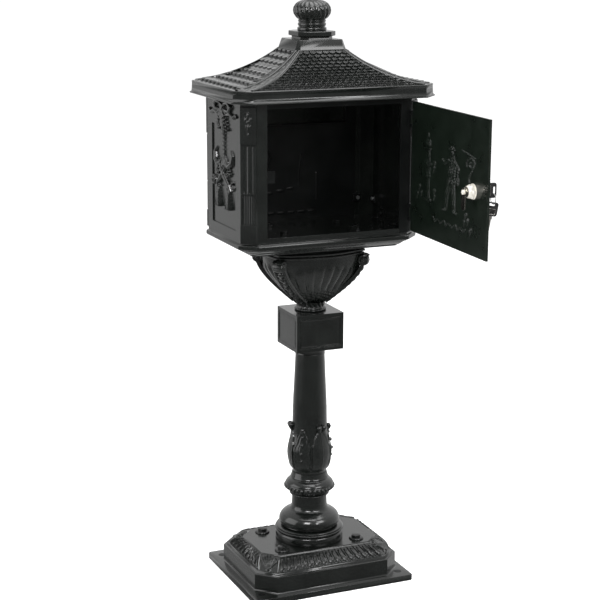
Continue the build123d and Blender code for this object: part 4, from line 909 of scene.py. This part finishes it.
def make_finial():
    w, z, top = plinth_high[0], plinth_low[2], plinth_high[2]
    plan = (0, 2 * w, 2 * w, 15 * MM)
    foot = 5.6 * MM
    rings = plan_loft(levels(plan, z, [(0, 5), (1.2, 5.6)])
                      + levels(plan, z + foot, [(-1.4, 5.6), (0, 4.4), (0, 0.8), (0.8, 0)])
                      + levels(plan, top, [(-1.0, 0), (-0.2, 0.7), (0, 2.2)]))
    Shape().loft(rings, first=True).cast("chamfered_plinth", "finial_plinth", sharp=40)
    z, tip, ball = ball_low[2], ball_high[2], ball_high[0]
    neck = curve(ball, z, [(9.6, 0), (8.8, 1.4), (8.9, 5.4), (10.6, 6.8), (11.6, 8.2), (10, 9.8),
                           (9.8, 13.4), (11.2, 14.8), (10.8, 16.4), (9.9, 18.6), (11.2, 20.4)])
    globe = curve(ball, z, [(11.2, 20.4), (6, 24.5), (1.4, 31), (0, 38), (1.8, 45), (8, 52),
                            (18, 56.4), (23, 57.6)])
    cap = curve(ball, z, [(23, 57.6), (23.2, 60), (25, 65)], (ball - 29 * MM, tip - 2 * MM), (1.5 * MM, tip))
    profile = np.vstack([neck, globe[1:], cap[1:]])
    lobes = 18

    def relief(angle, height):
        on = smoothstep(z + 22 * MM, z + 27 * MM, height) * (1 - smoothstep(z + 53 * MM, z + 57 * MM, height))
        twist = angle + (height - z) * 6
        lobe = np.abs(np.cos(twist * lobes / 2)) ** 0.6
        scale = np.abs(np.sin((height - z) * 520 + np.cos(twist * lobes))) * 0.5
        return MM * on * (2.2 * lobe + 0.5 * scale - 2.6)

    shape = turned(profile, 540, relief).cap(lathe(profile[-1:], 540)[0])
    shape.cast("gadrooned_finial", "finial_ball", sharp=60)


# ---------------------------------------------------------------- box walls

BOX_D = rear_high[1]
WALL_X = -left_low[0]
DECK_Z, BOX_TOP = left_low[2], left_high[2]
DRAWN_TOP = 966.0


def drawn_height(z):
    """A height in millimetres as the drawings count it, the box walls ending at DRAWN_TOP."""
    return (z - BOX_TOP) / MM + DRAWN_TOP


def make_pilaster_faces():
    """Block, flutes, reeds and foot on each cut corner."""
    shape = Shape()
    cut = 23.5 * MM
    proud = 1.7 * MM
    for sx, sy in CORNERS:
        a = np.array((sx * WALL_X, sy * (BOX_D - cut), 0))
        b = np.array((sx * (WALL_X - cut), sy * BOX_D, 0))
        if sx * sy < 0:
            a, b = b, a
        across = (b - a) / np.linalg.norm(b - a)
        width = np.linalg.norm(b - a)
        low, high = DECK_Z + 1.5 * MM, BOX_TOP - 4 * MM
        points, x, y = face_grid(a + (0, 0, low), across, (0, 0, 1), width, high - low, 0.6 * MM)
        z = y + low
        middle = x - width / 2
        flutes = np.zeros_like(x)
        up, down = z - DECK_Z, BOX_TOP - z
        for centre in (-5.6 * MM, 5.6 * MM):
            groove = ridge(middle, centre, 3.6 * MM)
            flutes = np.maximum(flutes, groove * (np.abs(up - 135 * MM) < 43 * MM))
        reeds = np.abs(np.sin(middle / (2.3 * MM) * math.pi / 2)) * (np.abs(middle) < 11.5 * MM)
        in_reeds = (np.abs(up - 61 * MM) < 26 * MM)
        seams = np.zeros_like(x)
        for seam in (35, 89.5, 181, 250):
            seams = np.maximum(seams, stripe(up, seam * MM, 0.6 * MM, 1.3 * MM))
        blocks = ((up < 34 * MM) | ((down < 81 * MM) & (down > 14 * MM))) * 1.2
        spray = Drawing(middle / MM, -down / MM)
        for spot, size in (((0, -28), (2.2, 5.5)), ((0, -40), (3.2, 4.5)), ((0, -52), (1.8, 7)),
                           ((0, -63), (1.4, 3))):
            spray.bump(1.0, spot, size)
        for side in (-1, 1):
            spray.bump(1.0, (side * 4.8, -36), (2.6, 4.2))
            spray.bump(1.0, (side * 3.4, -49), (1.7, 3.4))
        inner = smoothstep(0, 1.6 * MM, np.minimum(x, width - x))
        height = proud + MM * (blocks - 2.4 * seams * inner - 2.3 * flutes + 2.6 * spray.height)
        height = np.where(in_reeds & (np.abs(middle) < 12 * MM), proud - 1.3 * MM + 1.6 * MM * reeds, height)
        border = np.minimum(np.minimum(x, width - x), np.minimum(z - low, high - z))
        height = np.where(border <= 0, -0.3 * MM, np.maximum(height, 0.1 * MM))
        shape.grid(raised(points, height))
    shape.cast("pilaster_mouldings", sharp=50)


def side_ornament(y, z):
    """Ribbon, drooping flowers, torch, crossed horns and tassels, in millimetres over the panel."""
    art = Drawing(y, z)
    for side in (-1, 1):
        loop = [(0, 942), (side * 10, 951), (side * 24, 953), (side * 34, 946), (side * 28, 938),
                (side * 12, 938), (side * 2, 941)]
        art.cord(5.2, loop, [2.6, 3.6, 4.2, 4.6, 4.2, 3.2, 2.4])
        tail = [(side * 6, 938), (side * 20, 931), (side * 33, 934), (side * 46, 929), (side * 54, 934),
                (side * 60, 930)]
        art.cord(4.6, tail, [2.6, 3.4, 3.8, 3.6, 3.0, 1.6])
        for n in range(5):
            art.bump(5.6, (side * (9 + 2.2 * n), 928 - 6.5 * n), (3.6 - 0.35 * n, 3.4 - 0.3 * n))
        for n in range(4):
            art.bump(3.6, (side * (17 + 2.0 * n), 925 - 6.0 * n), (2.6, 2.4))
    art.bump(6.6, (0, 944), (6.5, 7.5))
    for n in range(6):
        angle = n * math.pi / 3
        art.bump(6.8, (6.5 * math.cos(angle), 930 + 6.0 * math.sin(angle)), (4.2, 4.0))
    art.bump(7.6, (0, 930), (3.4, 3.4))
    torch = [(0, 924), (0, 908), (0, 890), (0, 868), (0, 848), (0, 836)]
    art.cord(5.6, torch, [6.8, 7.2, 5.0, 4.0, 5.6, 8.0])
    for n in range(11):
        ring = 1.0 - np.clip(np.abs(z - (916 - 7.4 * n)) / 1.1, 0, 1)
        art.stamp(6.4, ring * bump_at(y, z, (0, 916 - 7.4 * n), (7.0 - 0.35 * abs(n - 1), 3)))
    for side in (-1, 1):
        horn = [(side * 3, 850), (side * 12, 838), (side * 22, 834), (side * 33, 842), (side * 36, 856),
                (side * 30, 864)]
        art.cord(6.0, horn, [3.2, 4.4, 5.2, 5.0, 3.8, 2.6])
        cross = [(side * -16, 842), (side * -6, 826), (side * 8, 812), (side * 22, 800), (side * 27, 790)]
        art.cord(6.6, cross, [3.0, 4.2, 4.6, 4.2, 3.0])
        for n in range(4):
            art.bump(5.4, (side * (22 + 4.5 * math.cos(n * 1.6)), 822 + 4.5 * math.sin(n * 1.6)), (3.2, 3.2))
        bell = [(side * 20, 802), (side * 21, 790), (side * 21, 776), (side * 21, 762)]
        art.cord(6.2, bell, [2.8, 5.6, 7.2, 8.2])
        for n in range(5):
            strand = side * 21 + (n - 2) * 3.1
            art.cord(7.0, [(side * 21 + (n - 2) * 1.6, 786), (strand, 755)], [1.0, 1.5])
        art.bump(7.2, (side * 20.5, 793), (5.0, 2.6))
        curl = spiral((side * 42, 800), math.pi / 2, 1.1, side, 9, 2.2, 20)
        art.cord(4.4, curl, [2.4] * 20)
    art.bump(8.4, (-4, 820), (4.4, 4.4))
    return art.height


def make_side_relief(sx):
    """The raised ornament of a side wall; its ground lies just under the wall's own face."""
    node = "left_panel" if sx < 0 else "right_panel"
    low, high = DECK_Z + 4 * MM, BOX_TOP - 5 * MM
    across = (0, -1, 0) if sx < 0 else (0, 1, 0)
    half, sunk_half, sunk_low, sunk_high = 72 * MM, 61 * MM, DECK_Z + 17 * MM, BOX_TOP - 58 * MM
    start = (sx * WALL_X, -sx * half, low)
    points, x, y = face_grid(start, across, (0, 0, 1), 2 * half, high - low, 0.7 * MM)
    z = y + low
    sunk = (np.abs(points[..., 1]) < sunk_half) & (z > sunk_low) & (z < sunk_high)
    ground = np.where(sunk, -2.9 * MM, -0.4 * MM)
    widened, heightened = 1.24, 1.25
    drawn_x = points[..., 1] / MM * -sx / widened
    ornament = heightened * side_ornament(drawn_x, drawn_height(z)) * MM
    height = ground + np.where(ornament > 0, ornament + 0.4 * MM, 0)
    Shape().grid(raised(points, np.minimum(height, 5.6 * MM))).make(
        f"{node}_ornament", paint, "root", "painted_casting", sharp=60)


# ---------------------------------------------------------------- door

def scene_relief(x, z):
    """A generic street scene: a postal worker with a bag, a lamp post, a scrolled bracket and plants."""
    art = Drawing(x, z)
    art.bump(1.0, (12, 878), (5.0, 6.2))
    art.cord(1.1, [(4, 884), (20, 884)], [1.6, 1.6])
    art.bump(1.2, (12, 887), (6.4, 3.6))
    art.cord(1.2, [(12, 868), (12, 852), (13, 830)], [9.0, 12.5, 11.0])
    art.cord(1.3, [(4, 864), (-8, 852), (-5, 838)], [3.4, 3.2, 2.6])
    art.cord(1.3, [(20, 864), (31, 856), (38, 862)], [3.4, 3.0, 2.6])
    art.cord(1.1, [(20, 862), (4, 838)], [1.5, 1.5])
    art.bump(1.4, (-2, 830), (8.5, 7.5), 4)
    art.cord(1.2, [(9, 828), (6, 800), (4, 776)], [7.4, 6.4, 5.0])
    art.cord(1.2, [(17, 828), (24, 802), (27, 776)], [7.4, 6.4, 5.0])
    art.cord(1.3, [(4, 774), (-3, 772)], [2.8, 2.4])
    art.cord(1.3, [(27, 774), (35, 772)], [2.8, 2.4])
    art.bump(1.2, (80, 884), (7.5, 9), 3)
    art.cord(1.3, [(72, 874), (88, 874)], [1.8, 1.8])
    art.cord(1.3, [(80, 896), (80, 902)], [2.4, 1.4])
    art.cord(1.2, [(80, 872), (80, 850), (80, 800), (80, 782)], [5.0, 7.0, 5.4, 6.4])
    art.bump(1.3, (80, 846), (11.0, 7.0))
    art.bump(1.3, (80, 824), (9.0, 6.0))
    art.cord(1.2, [(72, 780), (88, 780)], [3.2, 3.2])
    art.cord(1.1, spiral((-42, 868), -0.4, 1.2, 1, 13, 3, 24), [2.2] * 24)
    art.cord(1.1, [(-16, 888), (-34, 884), (-52, 880)], [1.4, 1.8, 1.2])
    art.cord(1.1, [(-44, 856), (-36, 842), (-40, 826), (-46, 812)], [1.8, 2.2, 2.0, 1.4])
    for px, pz, size in ((62, 850, 4.6), (62, 842, 3.2), (60, 800, 4.0), (60, 790, 3.0), (104, 800, 3.6),
                         (98, 790, 3.2), (110, 786, 3.4), (-30, 776, 4.2), (-36, 768, 3.4), (-26, 764, 3.0),
                         (-44, 752, 4.4)):
        art.bump(1.2, (px, pz), (size, size * 1.3))
        art.cord(1.0, [(px, pz), (px + size * 0.4, pz - size * 3)], [1.4, 1.0])
    for n in range(6):
        px = 62 - 16 * n
        art.cord(1.1, [(px, 752 - n % 2 * 3), (px - 6, 745), (px - 12, 750)], [1.8, 2.2, 1.4])
    return art.height


SCENE_X, SCENE_WIDENED = 80, 1.4


def door_panel_grid(inward):
    """A flat grid over the shut door's inner or outer face."""
    near_x, free_x = hinge_at.x - 8 * MM, hinge_at.x - 311 * MM
    low, high = door_low[2], door_high[2]
    if inward:
        start, across = (near_x, hinge_at.y + 4.6 * MM, low), (-1, 0, 0)
    else:
        start, across = (free_x, hinge_at.y + 0.6 * MM, low), (1, 0, 0)
    return face_grid(start, across, (0, 0, 1), near_x - free_x, high - low, CELL)


def door_scene(points):
    """The scene over a grid on the door, stopping short of the lock, and the distance from the lock."""
    x, z = points[..., 0], points[..., 2]
    away = np.hypot(x - closed_lock.x, z - closed_lock.z)
    relief = scene_relief(SCENE_X + (x / MM - SCENE_X) / SCENE_WIDENED, drawn_height(z))
    return relief * smoothstep(16 * MM, 18 * MM, away), away


def make_door_face(name, points, height):
    """A relief on the door whose bare ground lies just inside the door's own face."""
    sunk = 0.25 * MM
    shape = Shape().grid(raised(points, np.where(height > 0, sunk + height, 0) - sunk))
    shape.turned_about(OPENED).make(name, door_paint, "door", "painted_casting", sharp=60)


def make_door_relief():
    points, x, y = door_panel_grid(True)
    relief, away = door_scene(points)
    px, pz = points[..., 0] / MM, points[..., 2] / MM
    folds = np.sin(px * 0.95 + np.sin(pz * 0.33) * 1.6) * np.sin(pz * 0.62 + np.sin(px * 0.4))
    make_door_face("door_scene_inside", points, 2.2 * MM * relief * (0.72 + 0.28 * folds))
    points, x, y = door_panel_grid(False)
    relief, away = door_scene(points)
    border = from_edge(x, y)
    lines = np.maximum(2.2 * ridge(border, 12 * MM, 3.4 * MM), 1.2 * ridge(border, 18 * MM, 1.6 * MM))
    beside_hinge = smoothstep(10 * MM, 14 * MM, x.max() - x)
    height = np.maximum(1.9 * MM * relief, MM * lines * beside_hinge)
    make_door_face("door_scene_outside", points, height * smoothstep(15 * MM, 17 * MM, away))


def make_inside_relief():
    """The hollow backs of the castings, seen faintly inside the box."""
    half, tall, sunk = 136 * MM, 160 * MM, 0.3 * MM
    start = (-half, BOX_D - 5 * MM, DECK_Z + MM)
    points, x, y = face_grid(start, (1, 0, 0), (0, 0, 1), 2 * half, tall, MM)
    art = Drawing(points[..., 0] / MM, drawn_height(points[..., 2]))
    for n in range(9):
        art.bump(2.2, (-128 + 22 * n, 716), (8.5, 3.2), 4)
    for cx, cz, a, b in ((-96, 812, 9, 5), (-84, 826, 5, 4), (-100, 790, 6, 8), (-78, 795, 7, 5),
                         (-60, 772, 6, 9), (-70, 758, 10, 3), (-92, 752, 9, 3), (-44, 756, 8, 4),
                         (-20, 760, 9, 4), (2, 764, 8, 3.4)):
        art.bump(1.6, (cx, cz), (a, b))
    for line in ([(20, 770), (20, 800), (24, 830)], [(58, 740), (58, 792)],
                 [(-50, 800), (-40, 830), (-52, 850)]):
        art.cord(1.5, line, [2.4] * len(line))
    height = np.where(art.height > 0, art.height * MM + sunk, 0) - sunk
    # The relief takes the darker coat, painted shade inside the box.
    Shape().grid(raised(points, height)).make(
        "rear_wall_reverse_relief", painted_shade_coat, "root", "painted_casting", sharp=60)


def make_lock_sleeve():
    """The thick back nut of the lock, hexagonal at the door and rounded towards the cam."""
    nut_low, nut_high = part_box("lock_nut")
    flats, start = (nut_high[2] - nut_low[2]) / 2, 4.6 * MM + MM
    length = 13 * MM
    profile = flowing([(flats, 0), (flats, length * 0.4), (flats - 0.8 * MM, length * 0.7),
                       (flats - 3 * MM, length * 0.92), (flats - 5.5 * MM, length)], 0.5 * MM)

    def relief(angle, height):
        hexagon = 1 / np.cos((angle % (math.pi / 3)) - math.pi / 6) - 1
        return flats * hexagon * (1 - smoothstep(length * 0.34, length * 0.46, height))

    nut = lathe(profile, 180, relief)
    facing = nut[..., [0, 2, 1]] * (-1, 1, 1) + (closed_lock.x, hinge_at.y + start, closed_lock.z)
    shape = Shape().grid(facing, wrap=True).turned_about(OPENED)
    shape.make("lock_back_nut", plated, "door", "nickel", ["lock_nut"], sharp=35)


def make_hinge_rod():
    """The rod between the two hinge knuckles."""
    low, high = door_low[2] + 24 * MM, door_high[2] - 24 * MM
    line = [(hinge_at.x, hinge_at.y, low + (high - low) * k / 30) for k in range(31)]
    # The rod takes the darker coat, painted shade by the hinge inside the box.
    Shape().tube(line, 2.6 * MM, 24).make("hinge_rod", painted_shade_coat, "root", "painted_fastener", sharp=40)


def make_rear_face():
    """The outside of the rear wall: a plain field inside a raised bead, below the mail slot."""
    low, high = DECK_Z + 8 * MM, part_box("slot_bezel")[0][2] - 5 * MM
    half = 116 * MM
    points, x, y = face_grid((half, BOX_D, low), (-1, 0, 0), (0, 0, 1), 2 * half, high - low, CELL)
    border = from_edge(x, y)
    bead, thin = ridge(border, 8 * MM, 3.2 * MM), ridge(border, 14 * MM, 1.4 * MM)
    height = 0.3 * MM * smoothstep(0, 0.8 * MM, border) + MM * (1.9 * bead + 0.9 * thin)
    Shape().grid(raised(points, height - 0.1 * MM)).cast("rear_wall_moulding", sharp=50)


# ---------------------------------------------------------------- keys

KEY_SHOULDER, HEAD_LONG, HEAD_WIDE, HEAD_THICK = 6 * MM, 25 * MM, 27 * MM, 2.4 * MM


def rounded_outline(width, height, radius, steps=8):
    """A rounded rectangle about the origin, anticlockwise."""
    out = []
    for k, (sx, sy) in enumerate(CORNERS):
        for n in range(steps + 1):
            angle = (k + n / steps) * math.pi / 2
            out.append((sx * (width / 2 - radius) + radius * math.cos(angle),
                        sy * (height / 2 - radius) + radius * math.sin(angle)))
    return np.array(out)


def key_rings(spots, width, height, radius, middle):
    """Rounded rectangles set along X, each given by its place and how much it grows in millimetres."""
    rings = []
    for x, grow in spots:
        line = rounded_outline(width + grow * MM, height + grow * MM, radius)
        rings.append(np.column_stack([np.full(len(line), x), line[:, 0] + middle, line[:, 1]]))
    return np.array(rings)


def key_shapes():
    """The head and the blade of a key in the YZ plane, its blade towards +Y."""
    middle = -KEY_SHOULDER - HEAD_LONG / 2
    slot_y = -KEY_SHOULDER - HEAD_LONG + 2.6 * MM + 2 * MM
    half = HEAD_THICK / 2
    spots = [(-half, -0.9), (-half / 2, -0.1), (half / 2, -0.1), (half, -0.9)]
    rings = key_rings(spots, HEAD_LONG, HEAD_WIDE, 4.5 * MM, middle)
    spots = [(-half, 0.9), (-half / 2, 0), (half / 2, 0), (half, 0.9)]
    hole = key_rings(spots, 4 * MM, 13 * MM, 1.8 * MM, slot_y)
    head = Shape().grid(rings, wrap=True).grid(hole, wrap=True, flip=True)
    for end, flip in ((0, True), (3, False)):
        head.grid(np.array([rings[end], hole[end]]), wrap=True, flip=flip)
    spots = [(half - 0.1 * MM, 0), (half + 0.3 * MM, -0.4), (half + 0.3 * MM, -1.2), (half, -1.8)]
    badge = key_rings(spots, 11 * MM, 19 * MM, 2.4 * MM, middle + 4.4 * MM)
    blade = Shape()
    for side in (1, -1):
        rows = badge * (side, 1, 1)
        blade.grid(rows, wrap=True, flip=side < 0).cap(rows[-1], flip=side < 0)
    bow, shank, tip = 5.3 * MM, 3.9 * MM, 27.2 * MM
    along = -KEY_SHOULDER - 1 * MM + np.linspace(0, 1, 60) * 33 * MM
    bite = np.where(along > 3 * MM, 0.9 * MM * (0.5 + 0.5 * np.sin(along * 2200)), 0)
    point = np.clip((tip - along) / (3 * MM), 0.35, 1)
    upper = np.where(along < 0, bow, shank - bite) * point
    lower = np.where(along < 0, bow, shank) * point
    side = [(0.95, 0.90), (0.95, 0.35), (0.55, 0.22), (0.55, -0.22), (0.95, -0.35), (0.95, -0.90),
            (0.0, -1.0)]
    x, share = np.array(side + [(-x, -share) for x, share in side]).T
    z = np.where(share > 0, upper[:, None], lower[:, None]) * share
    body = np.stack([np.broadcast_to(x * MM, z.shape), np.repeat(along[:, None], len(x), 1), z], axis=-1)
    return head, blade.loft(body, first=True)


def make_keys():
    slot_y = closed_spare.y
    origin_y = slot_y + KEY_SHOULDER + HEAD_LONG - 2.6 * MM - 3 * MM
    in_lock = OPENED @ Matrix.Translation((closed_lock.x, origin_y, closed_lock.z))
    tilt = Matrix.Rotation(math.radians(10), 4, "X")
    hang = KEY_SHOULDER + HEAD_LONG - 2.6 * MM + 1.1 * MM
    slide = math.tan(math.radians(10)) * HEAD_LONG / 2
    upright = Matrix.Translation((0, slide, -hang)) @ Matrix.Rotation(math.radians(-90), 4, "X")
    hanging = OPENED @ Matrix.Translation(closed_spare) @ tilt @ upright
    for name, key, matrix in (("key", "door_key", in_lock), ("spare", "spare_key", hanging)):
        head, blade = key_shapes()
        head.turned_about(matrix).make(f"{name}_head", key_plastic, key, "key", [key], sharp=30)
        blade.turned_about(matrix).make(f"{name}_blade", blade_steel, key, "key", [key], sharp=30)


# ---------------------------------------------------------------- build, light and view

dress_cad_nodes()
for make in (make_socle, make_bell, make_torus_collar, make_vase, make_shaft, make_block, make_neck,
             make_bowl, make_bowl_ribs, make_bowl_rim, make_trays, make_base, make_bolt_flanges, make_roof,
             make_finial, make_pilaster_faces, make_door_relief, make_inside_relief, make_rear_face,
             make_lock_sleeve, make_hinge_rod, make_keys):
    make()
make_side_relief(-1)
make_side_relief(1)
frame["nodes"]["door_panel"].material_slots[0].material = door_paint


def pointing(tree, direction, way):
    """How nearly a direction points one way: 1 towards it, 0 across it."""
    node = add_node(tree, "ShaderNodeVectorMath", operation="DOT_PRODUCT")
    tree.links.new(direction, node.inputs[0])
    node.inputs[1].default_value = way
    return node.outputs["Value"]


LENS_MM, SENSOR_MM = 95.27, 36.0
CAMERA_AT = (-1.2169, -2.7543, 1.2749)
CAMERA_TURN, CAMERA_DIP, CAMERA_ROLL = 23.4527, 13.3616, 0.2405


def make_stage():
    """A plain pale floor, a pale surround, soft boxes and the camera."""
    scene = bpy.context.scene
    mesh = bpy.data.meshes.new("floor")
    mesh.from_pydata([(-8, -8, 0), (8, -8, 0), (8, 8, 0), (-8, 8, 0)], [], [(0, 1, 2, 3)])
    floor = bpy.data.objects.new("floor", mesh)
    scene.collection.objects.link(floor)
    pale = bpy.data.materials.new("floor_paper")
    pale.use_nodes = True
    tree = pale.node_tree
    shader = tree.nodes["Principled BSDF"]
    place = tree.nodes.new("ShaderNodeTexCoord").outputs["Object"]
    fibre = add_node(tree, "ShaderNodeTexNoise", Scale=3.0, Detail=3.0)
    tree.links.new(place, fibre.inputs["Vector"])
    tone = mix_colour(tree, fibre.outputs["Fac"], (0.93, 0.93, 0.93), (0.96, 0.96, 0.96))
    tree.links.new(tone, shader.inputs["Base Color"])
    fill(shader, **{"Roughness": 0.85, "Emission Color": (1.0, 1.0, 1.0, 1.0), "Emission Strength": 0.55})
    mesh.materials.append(pale)
    floor.visible_glossy = False

    world = bpy.data.worlds.new("studio")
    world.use_nodes = True
    tree = world.node_tree
    back = tree.nodes["Background"]
    backdrop = add_node(tree, "ShaderNodeBackground", Color=(1.0, 1.0, 1.0, 1.0), Strength=1.05)
    seen = tree.nodes.new("ShaderNodeLightPath")
    either = tree.nodes.new("ShaderNodeMixShader")
    direction = tree.nodes.new("ShaderNodeTexCoord").outputs["Generated"]
    level = ramp(tree, pointing(tree, direction, (0.50, 0.62, 0.60)), -0.45, 0.90, 0.16, 0.85)
    floor_glow = ramp(tree, pointing(tree, direction, (0.0, 0.0, -1.0)), 0.45, 0.85, 0.0, 0.20)
    both = add_node(tree, "ShaderNodeMath", operation="ADD")
    tree.links.new(level, both.inputs[0])
    tree.links.new(floor_glow, both.inputs[1])
    tree.links.new(both.outputs["Value"], back.inputs["Strength"])
    tree.links.new(seen.outputs["Is Camera Ray"], either.inputs["Fac"])
    tree.links.new(back.outputs["Background"], either.inputs[1])
    tree.links.new(backdrop.outputs["Background"], either.inputs[2])
    tree.links.new(either.outputs["Shader"], tree.nodes["World Output"].inputs["Surface"])
    back.inputs["Color"].default_value = (1.0, 1.0, 1.0, 1.0)
    scene.world = world

    def soft_box(name, place, aim, size, power, colour=(1, 1, 1)):
        light = bpy.data.lights.new(name, "AREA")
        light.shape = "RECTANGLE"
        light.size, light.size_y = size
        light.energy = power
        light.color = colour
        lamp = bpy.data.objects.new(name, light)
        lamp.location = place
        lamp.rotation_euler = (Vector(aim) - Vector(place)).to_track_quat("-Z", "Y").to_euler()
        scene.collection.objects.link(lamp)

    soft_box("left_wall", (-2.6, 0.5, 1.3), (0, 0, 0.6), (2.4, 2.6), 34)
    soft_box("front_left_window", (-1.5, -2.4, 2.3), (0, 0, 0.4), (1.1, 0.8), 44)
    soft_box("front_right_window", (1.23, -2.35, 2.53), (0, 0, 1.0), (1.5, 1.2), 34)
    soft_box("front_small_window", (0.45, -2.9, 1.75), (0, 0, 0.3), (0.32, 0.5), 9)
    soft_box("top", (0.2, -0.2, 3.2), (0, 0, 0.5), (2.2, 2.2), 55)

    camera = bpy.data.objects.new("camera", bpy.data.cameras.new("camera"))
    camera.data.lens, camera.data.sensor_width = LENS_MM, SENSOR_MM
    yaw, pitch, roll = (math.radians(a) for a in (CAMERA_TURN, CAMERA_DIP, CAMERA_ROLL))
    ahead = Vector((math.sin(yaw) * math.cos(pitch), math.cos(yaw) * math.cos(pitch), -math.sin(pitch)))
    right = Vector((math.cos(yaw), -math.sin(yaw), 0))
    up = right.cross(ahead)
    right, up = right * math.cos(roll) + up * math.sin(roll), up * math.cos(roll) - right * math.sin(roll)
    turn = Matrix((right, up, -ahead)).transposed()
    camera.matrix_world = Matrix.Translation(CAMERA_AT) @ turn.to_4x4()
    scene.collection.objects.link(camera)
    scene.camera = camera
    scene.view_settings.view_transform = "Standard"


make_stage()
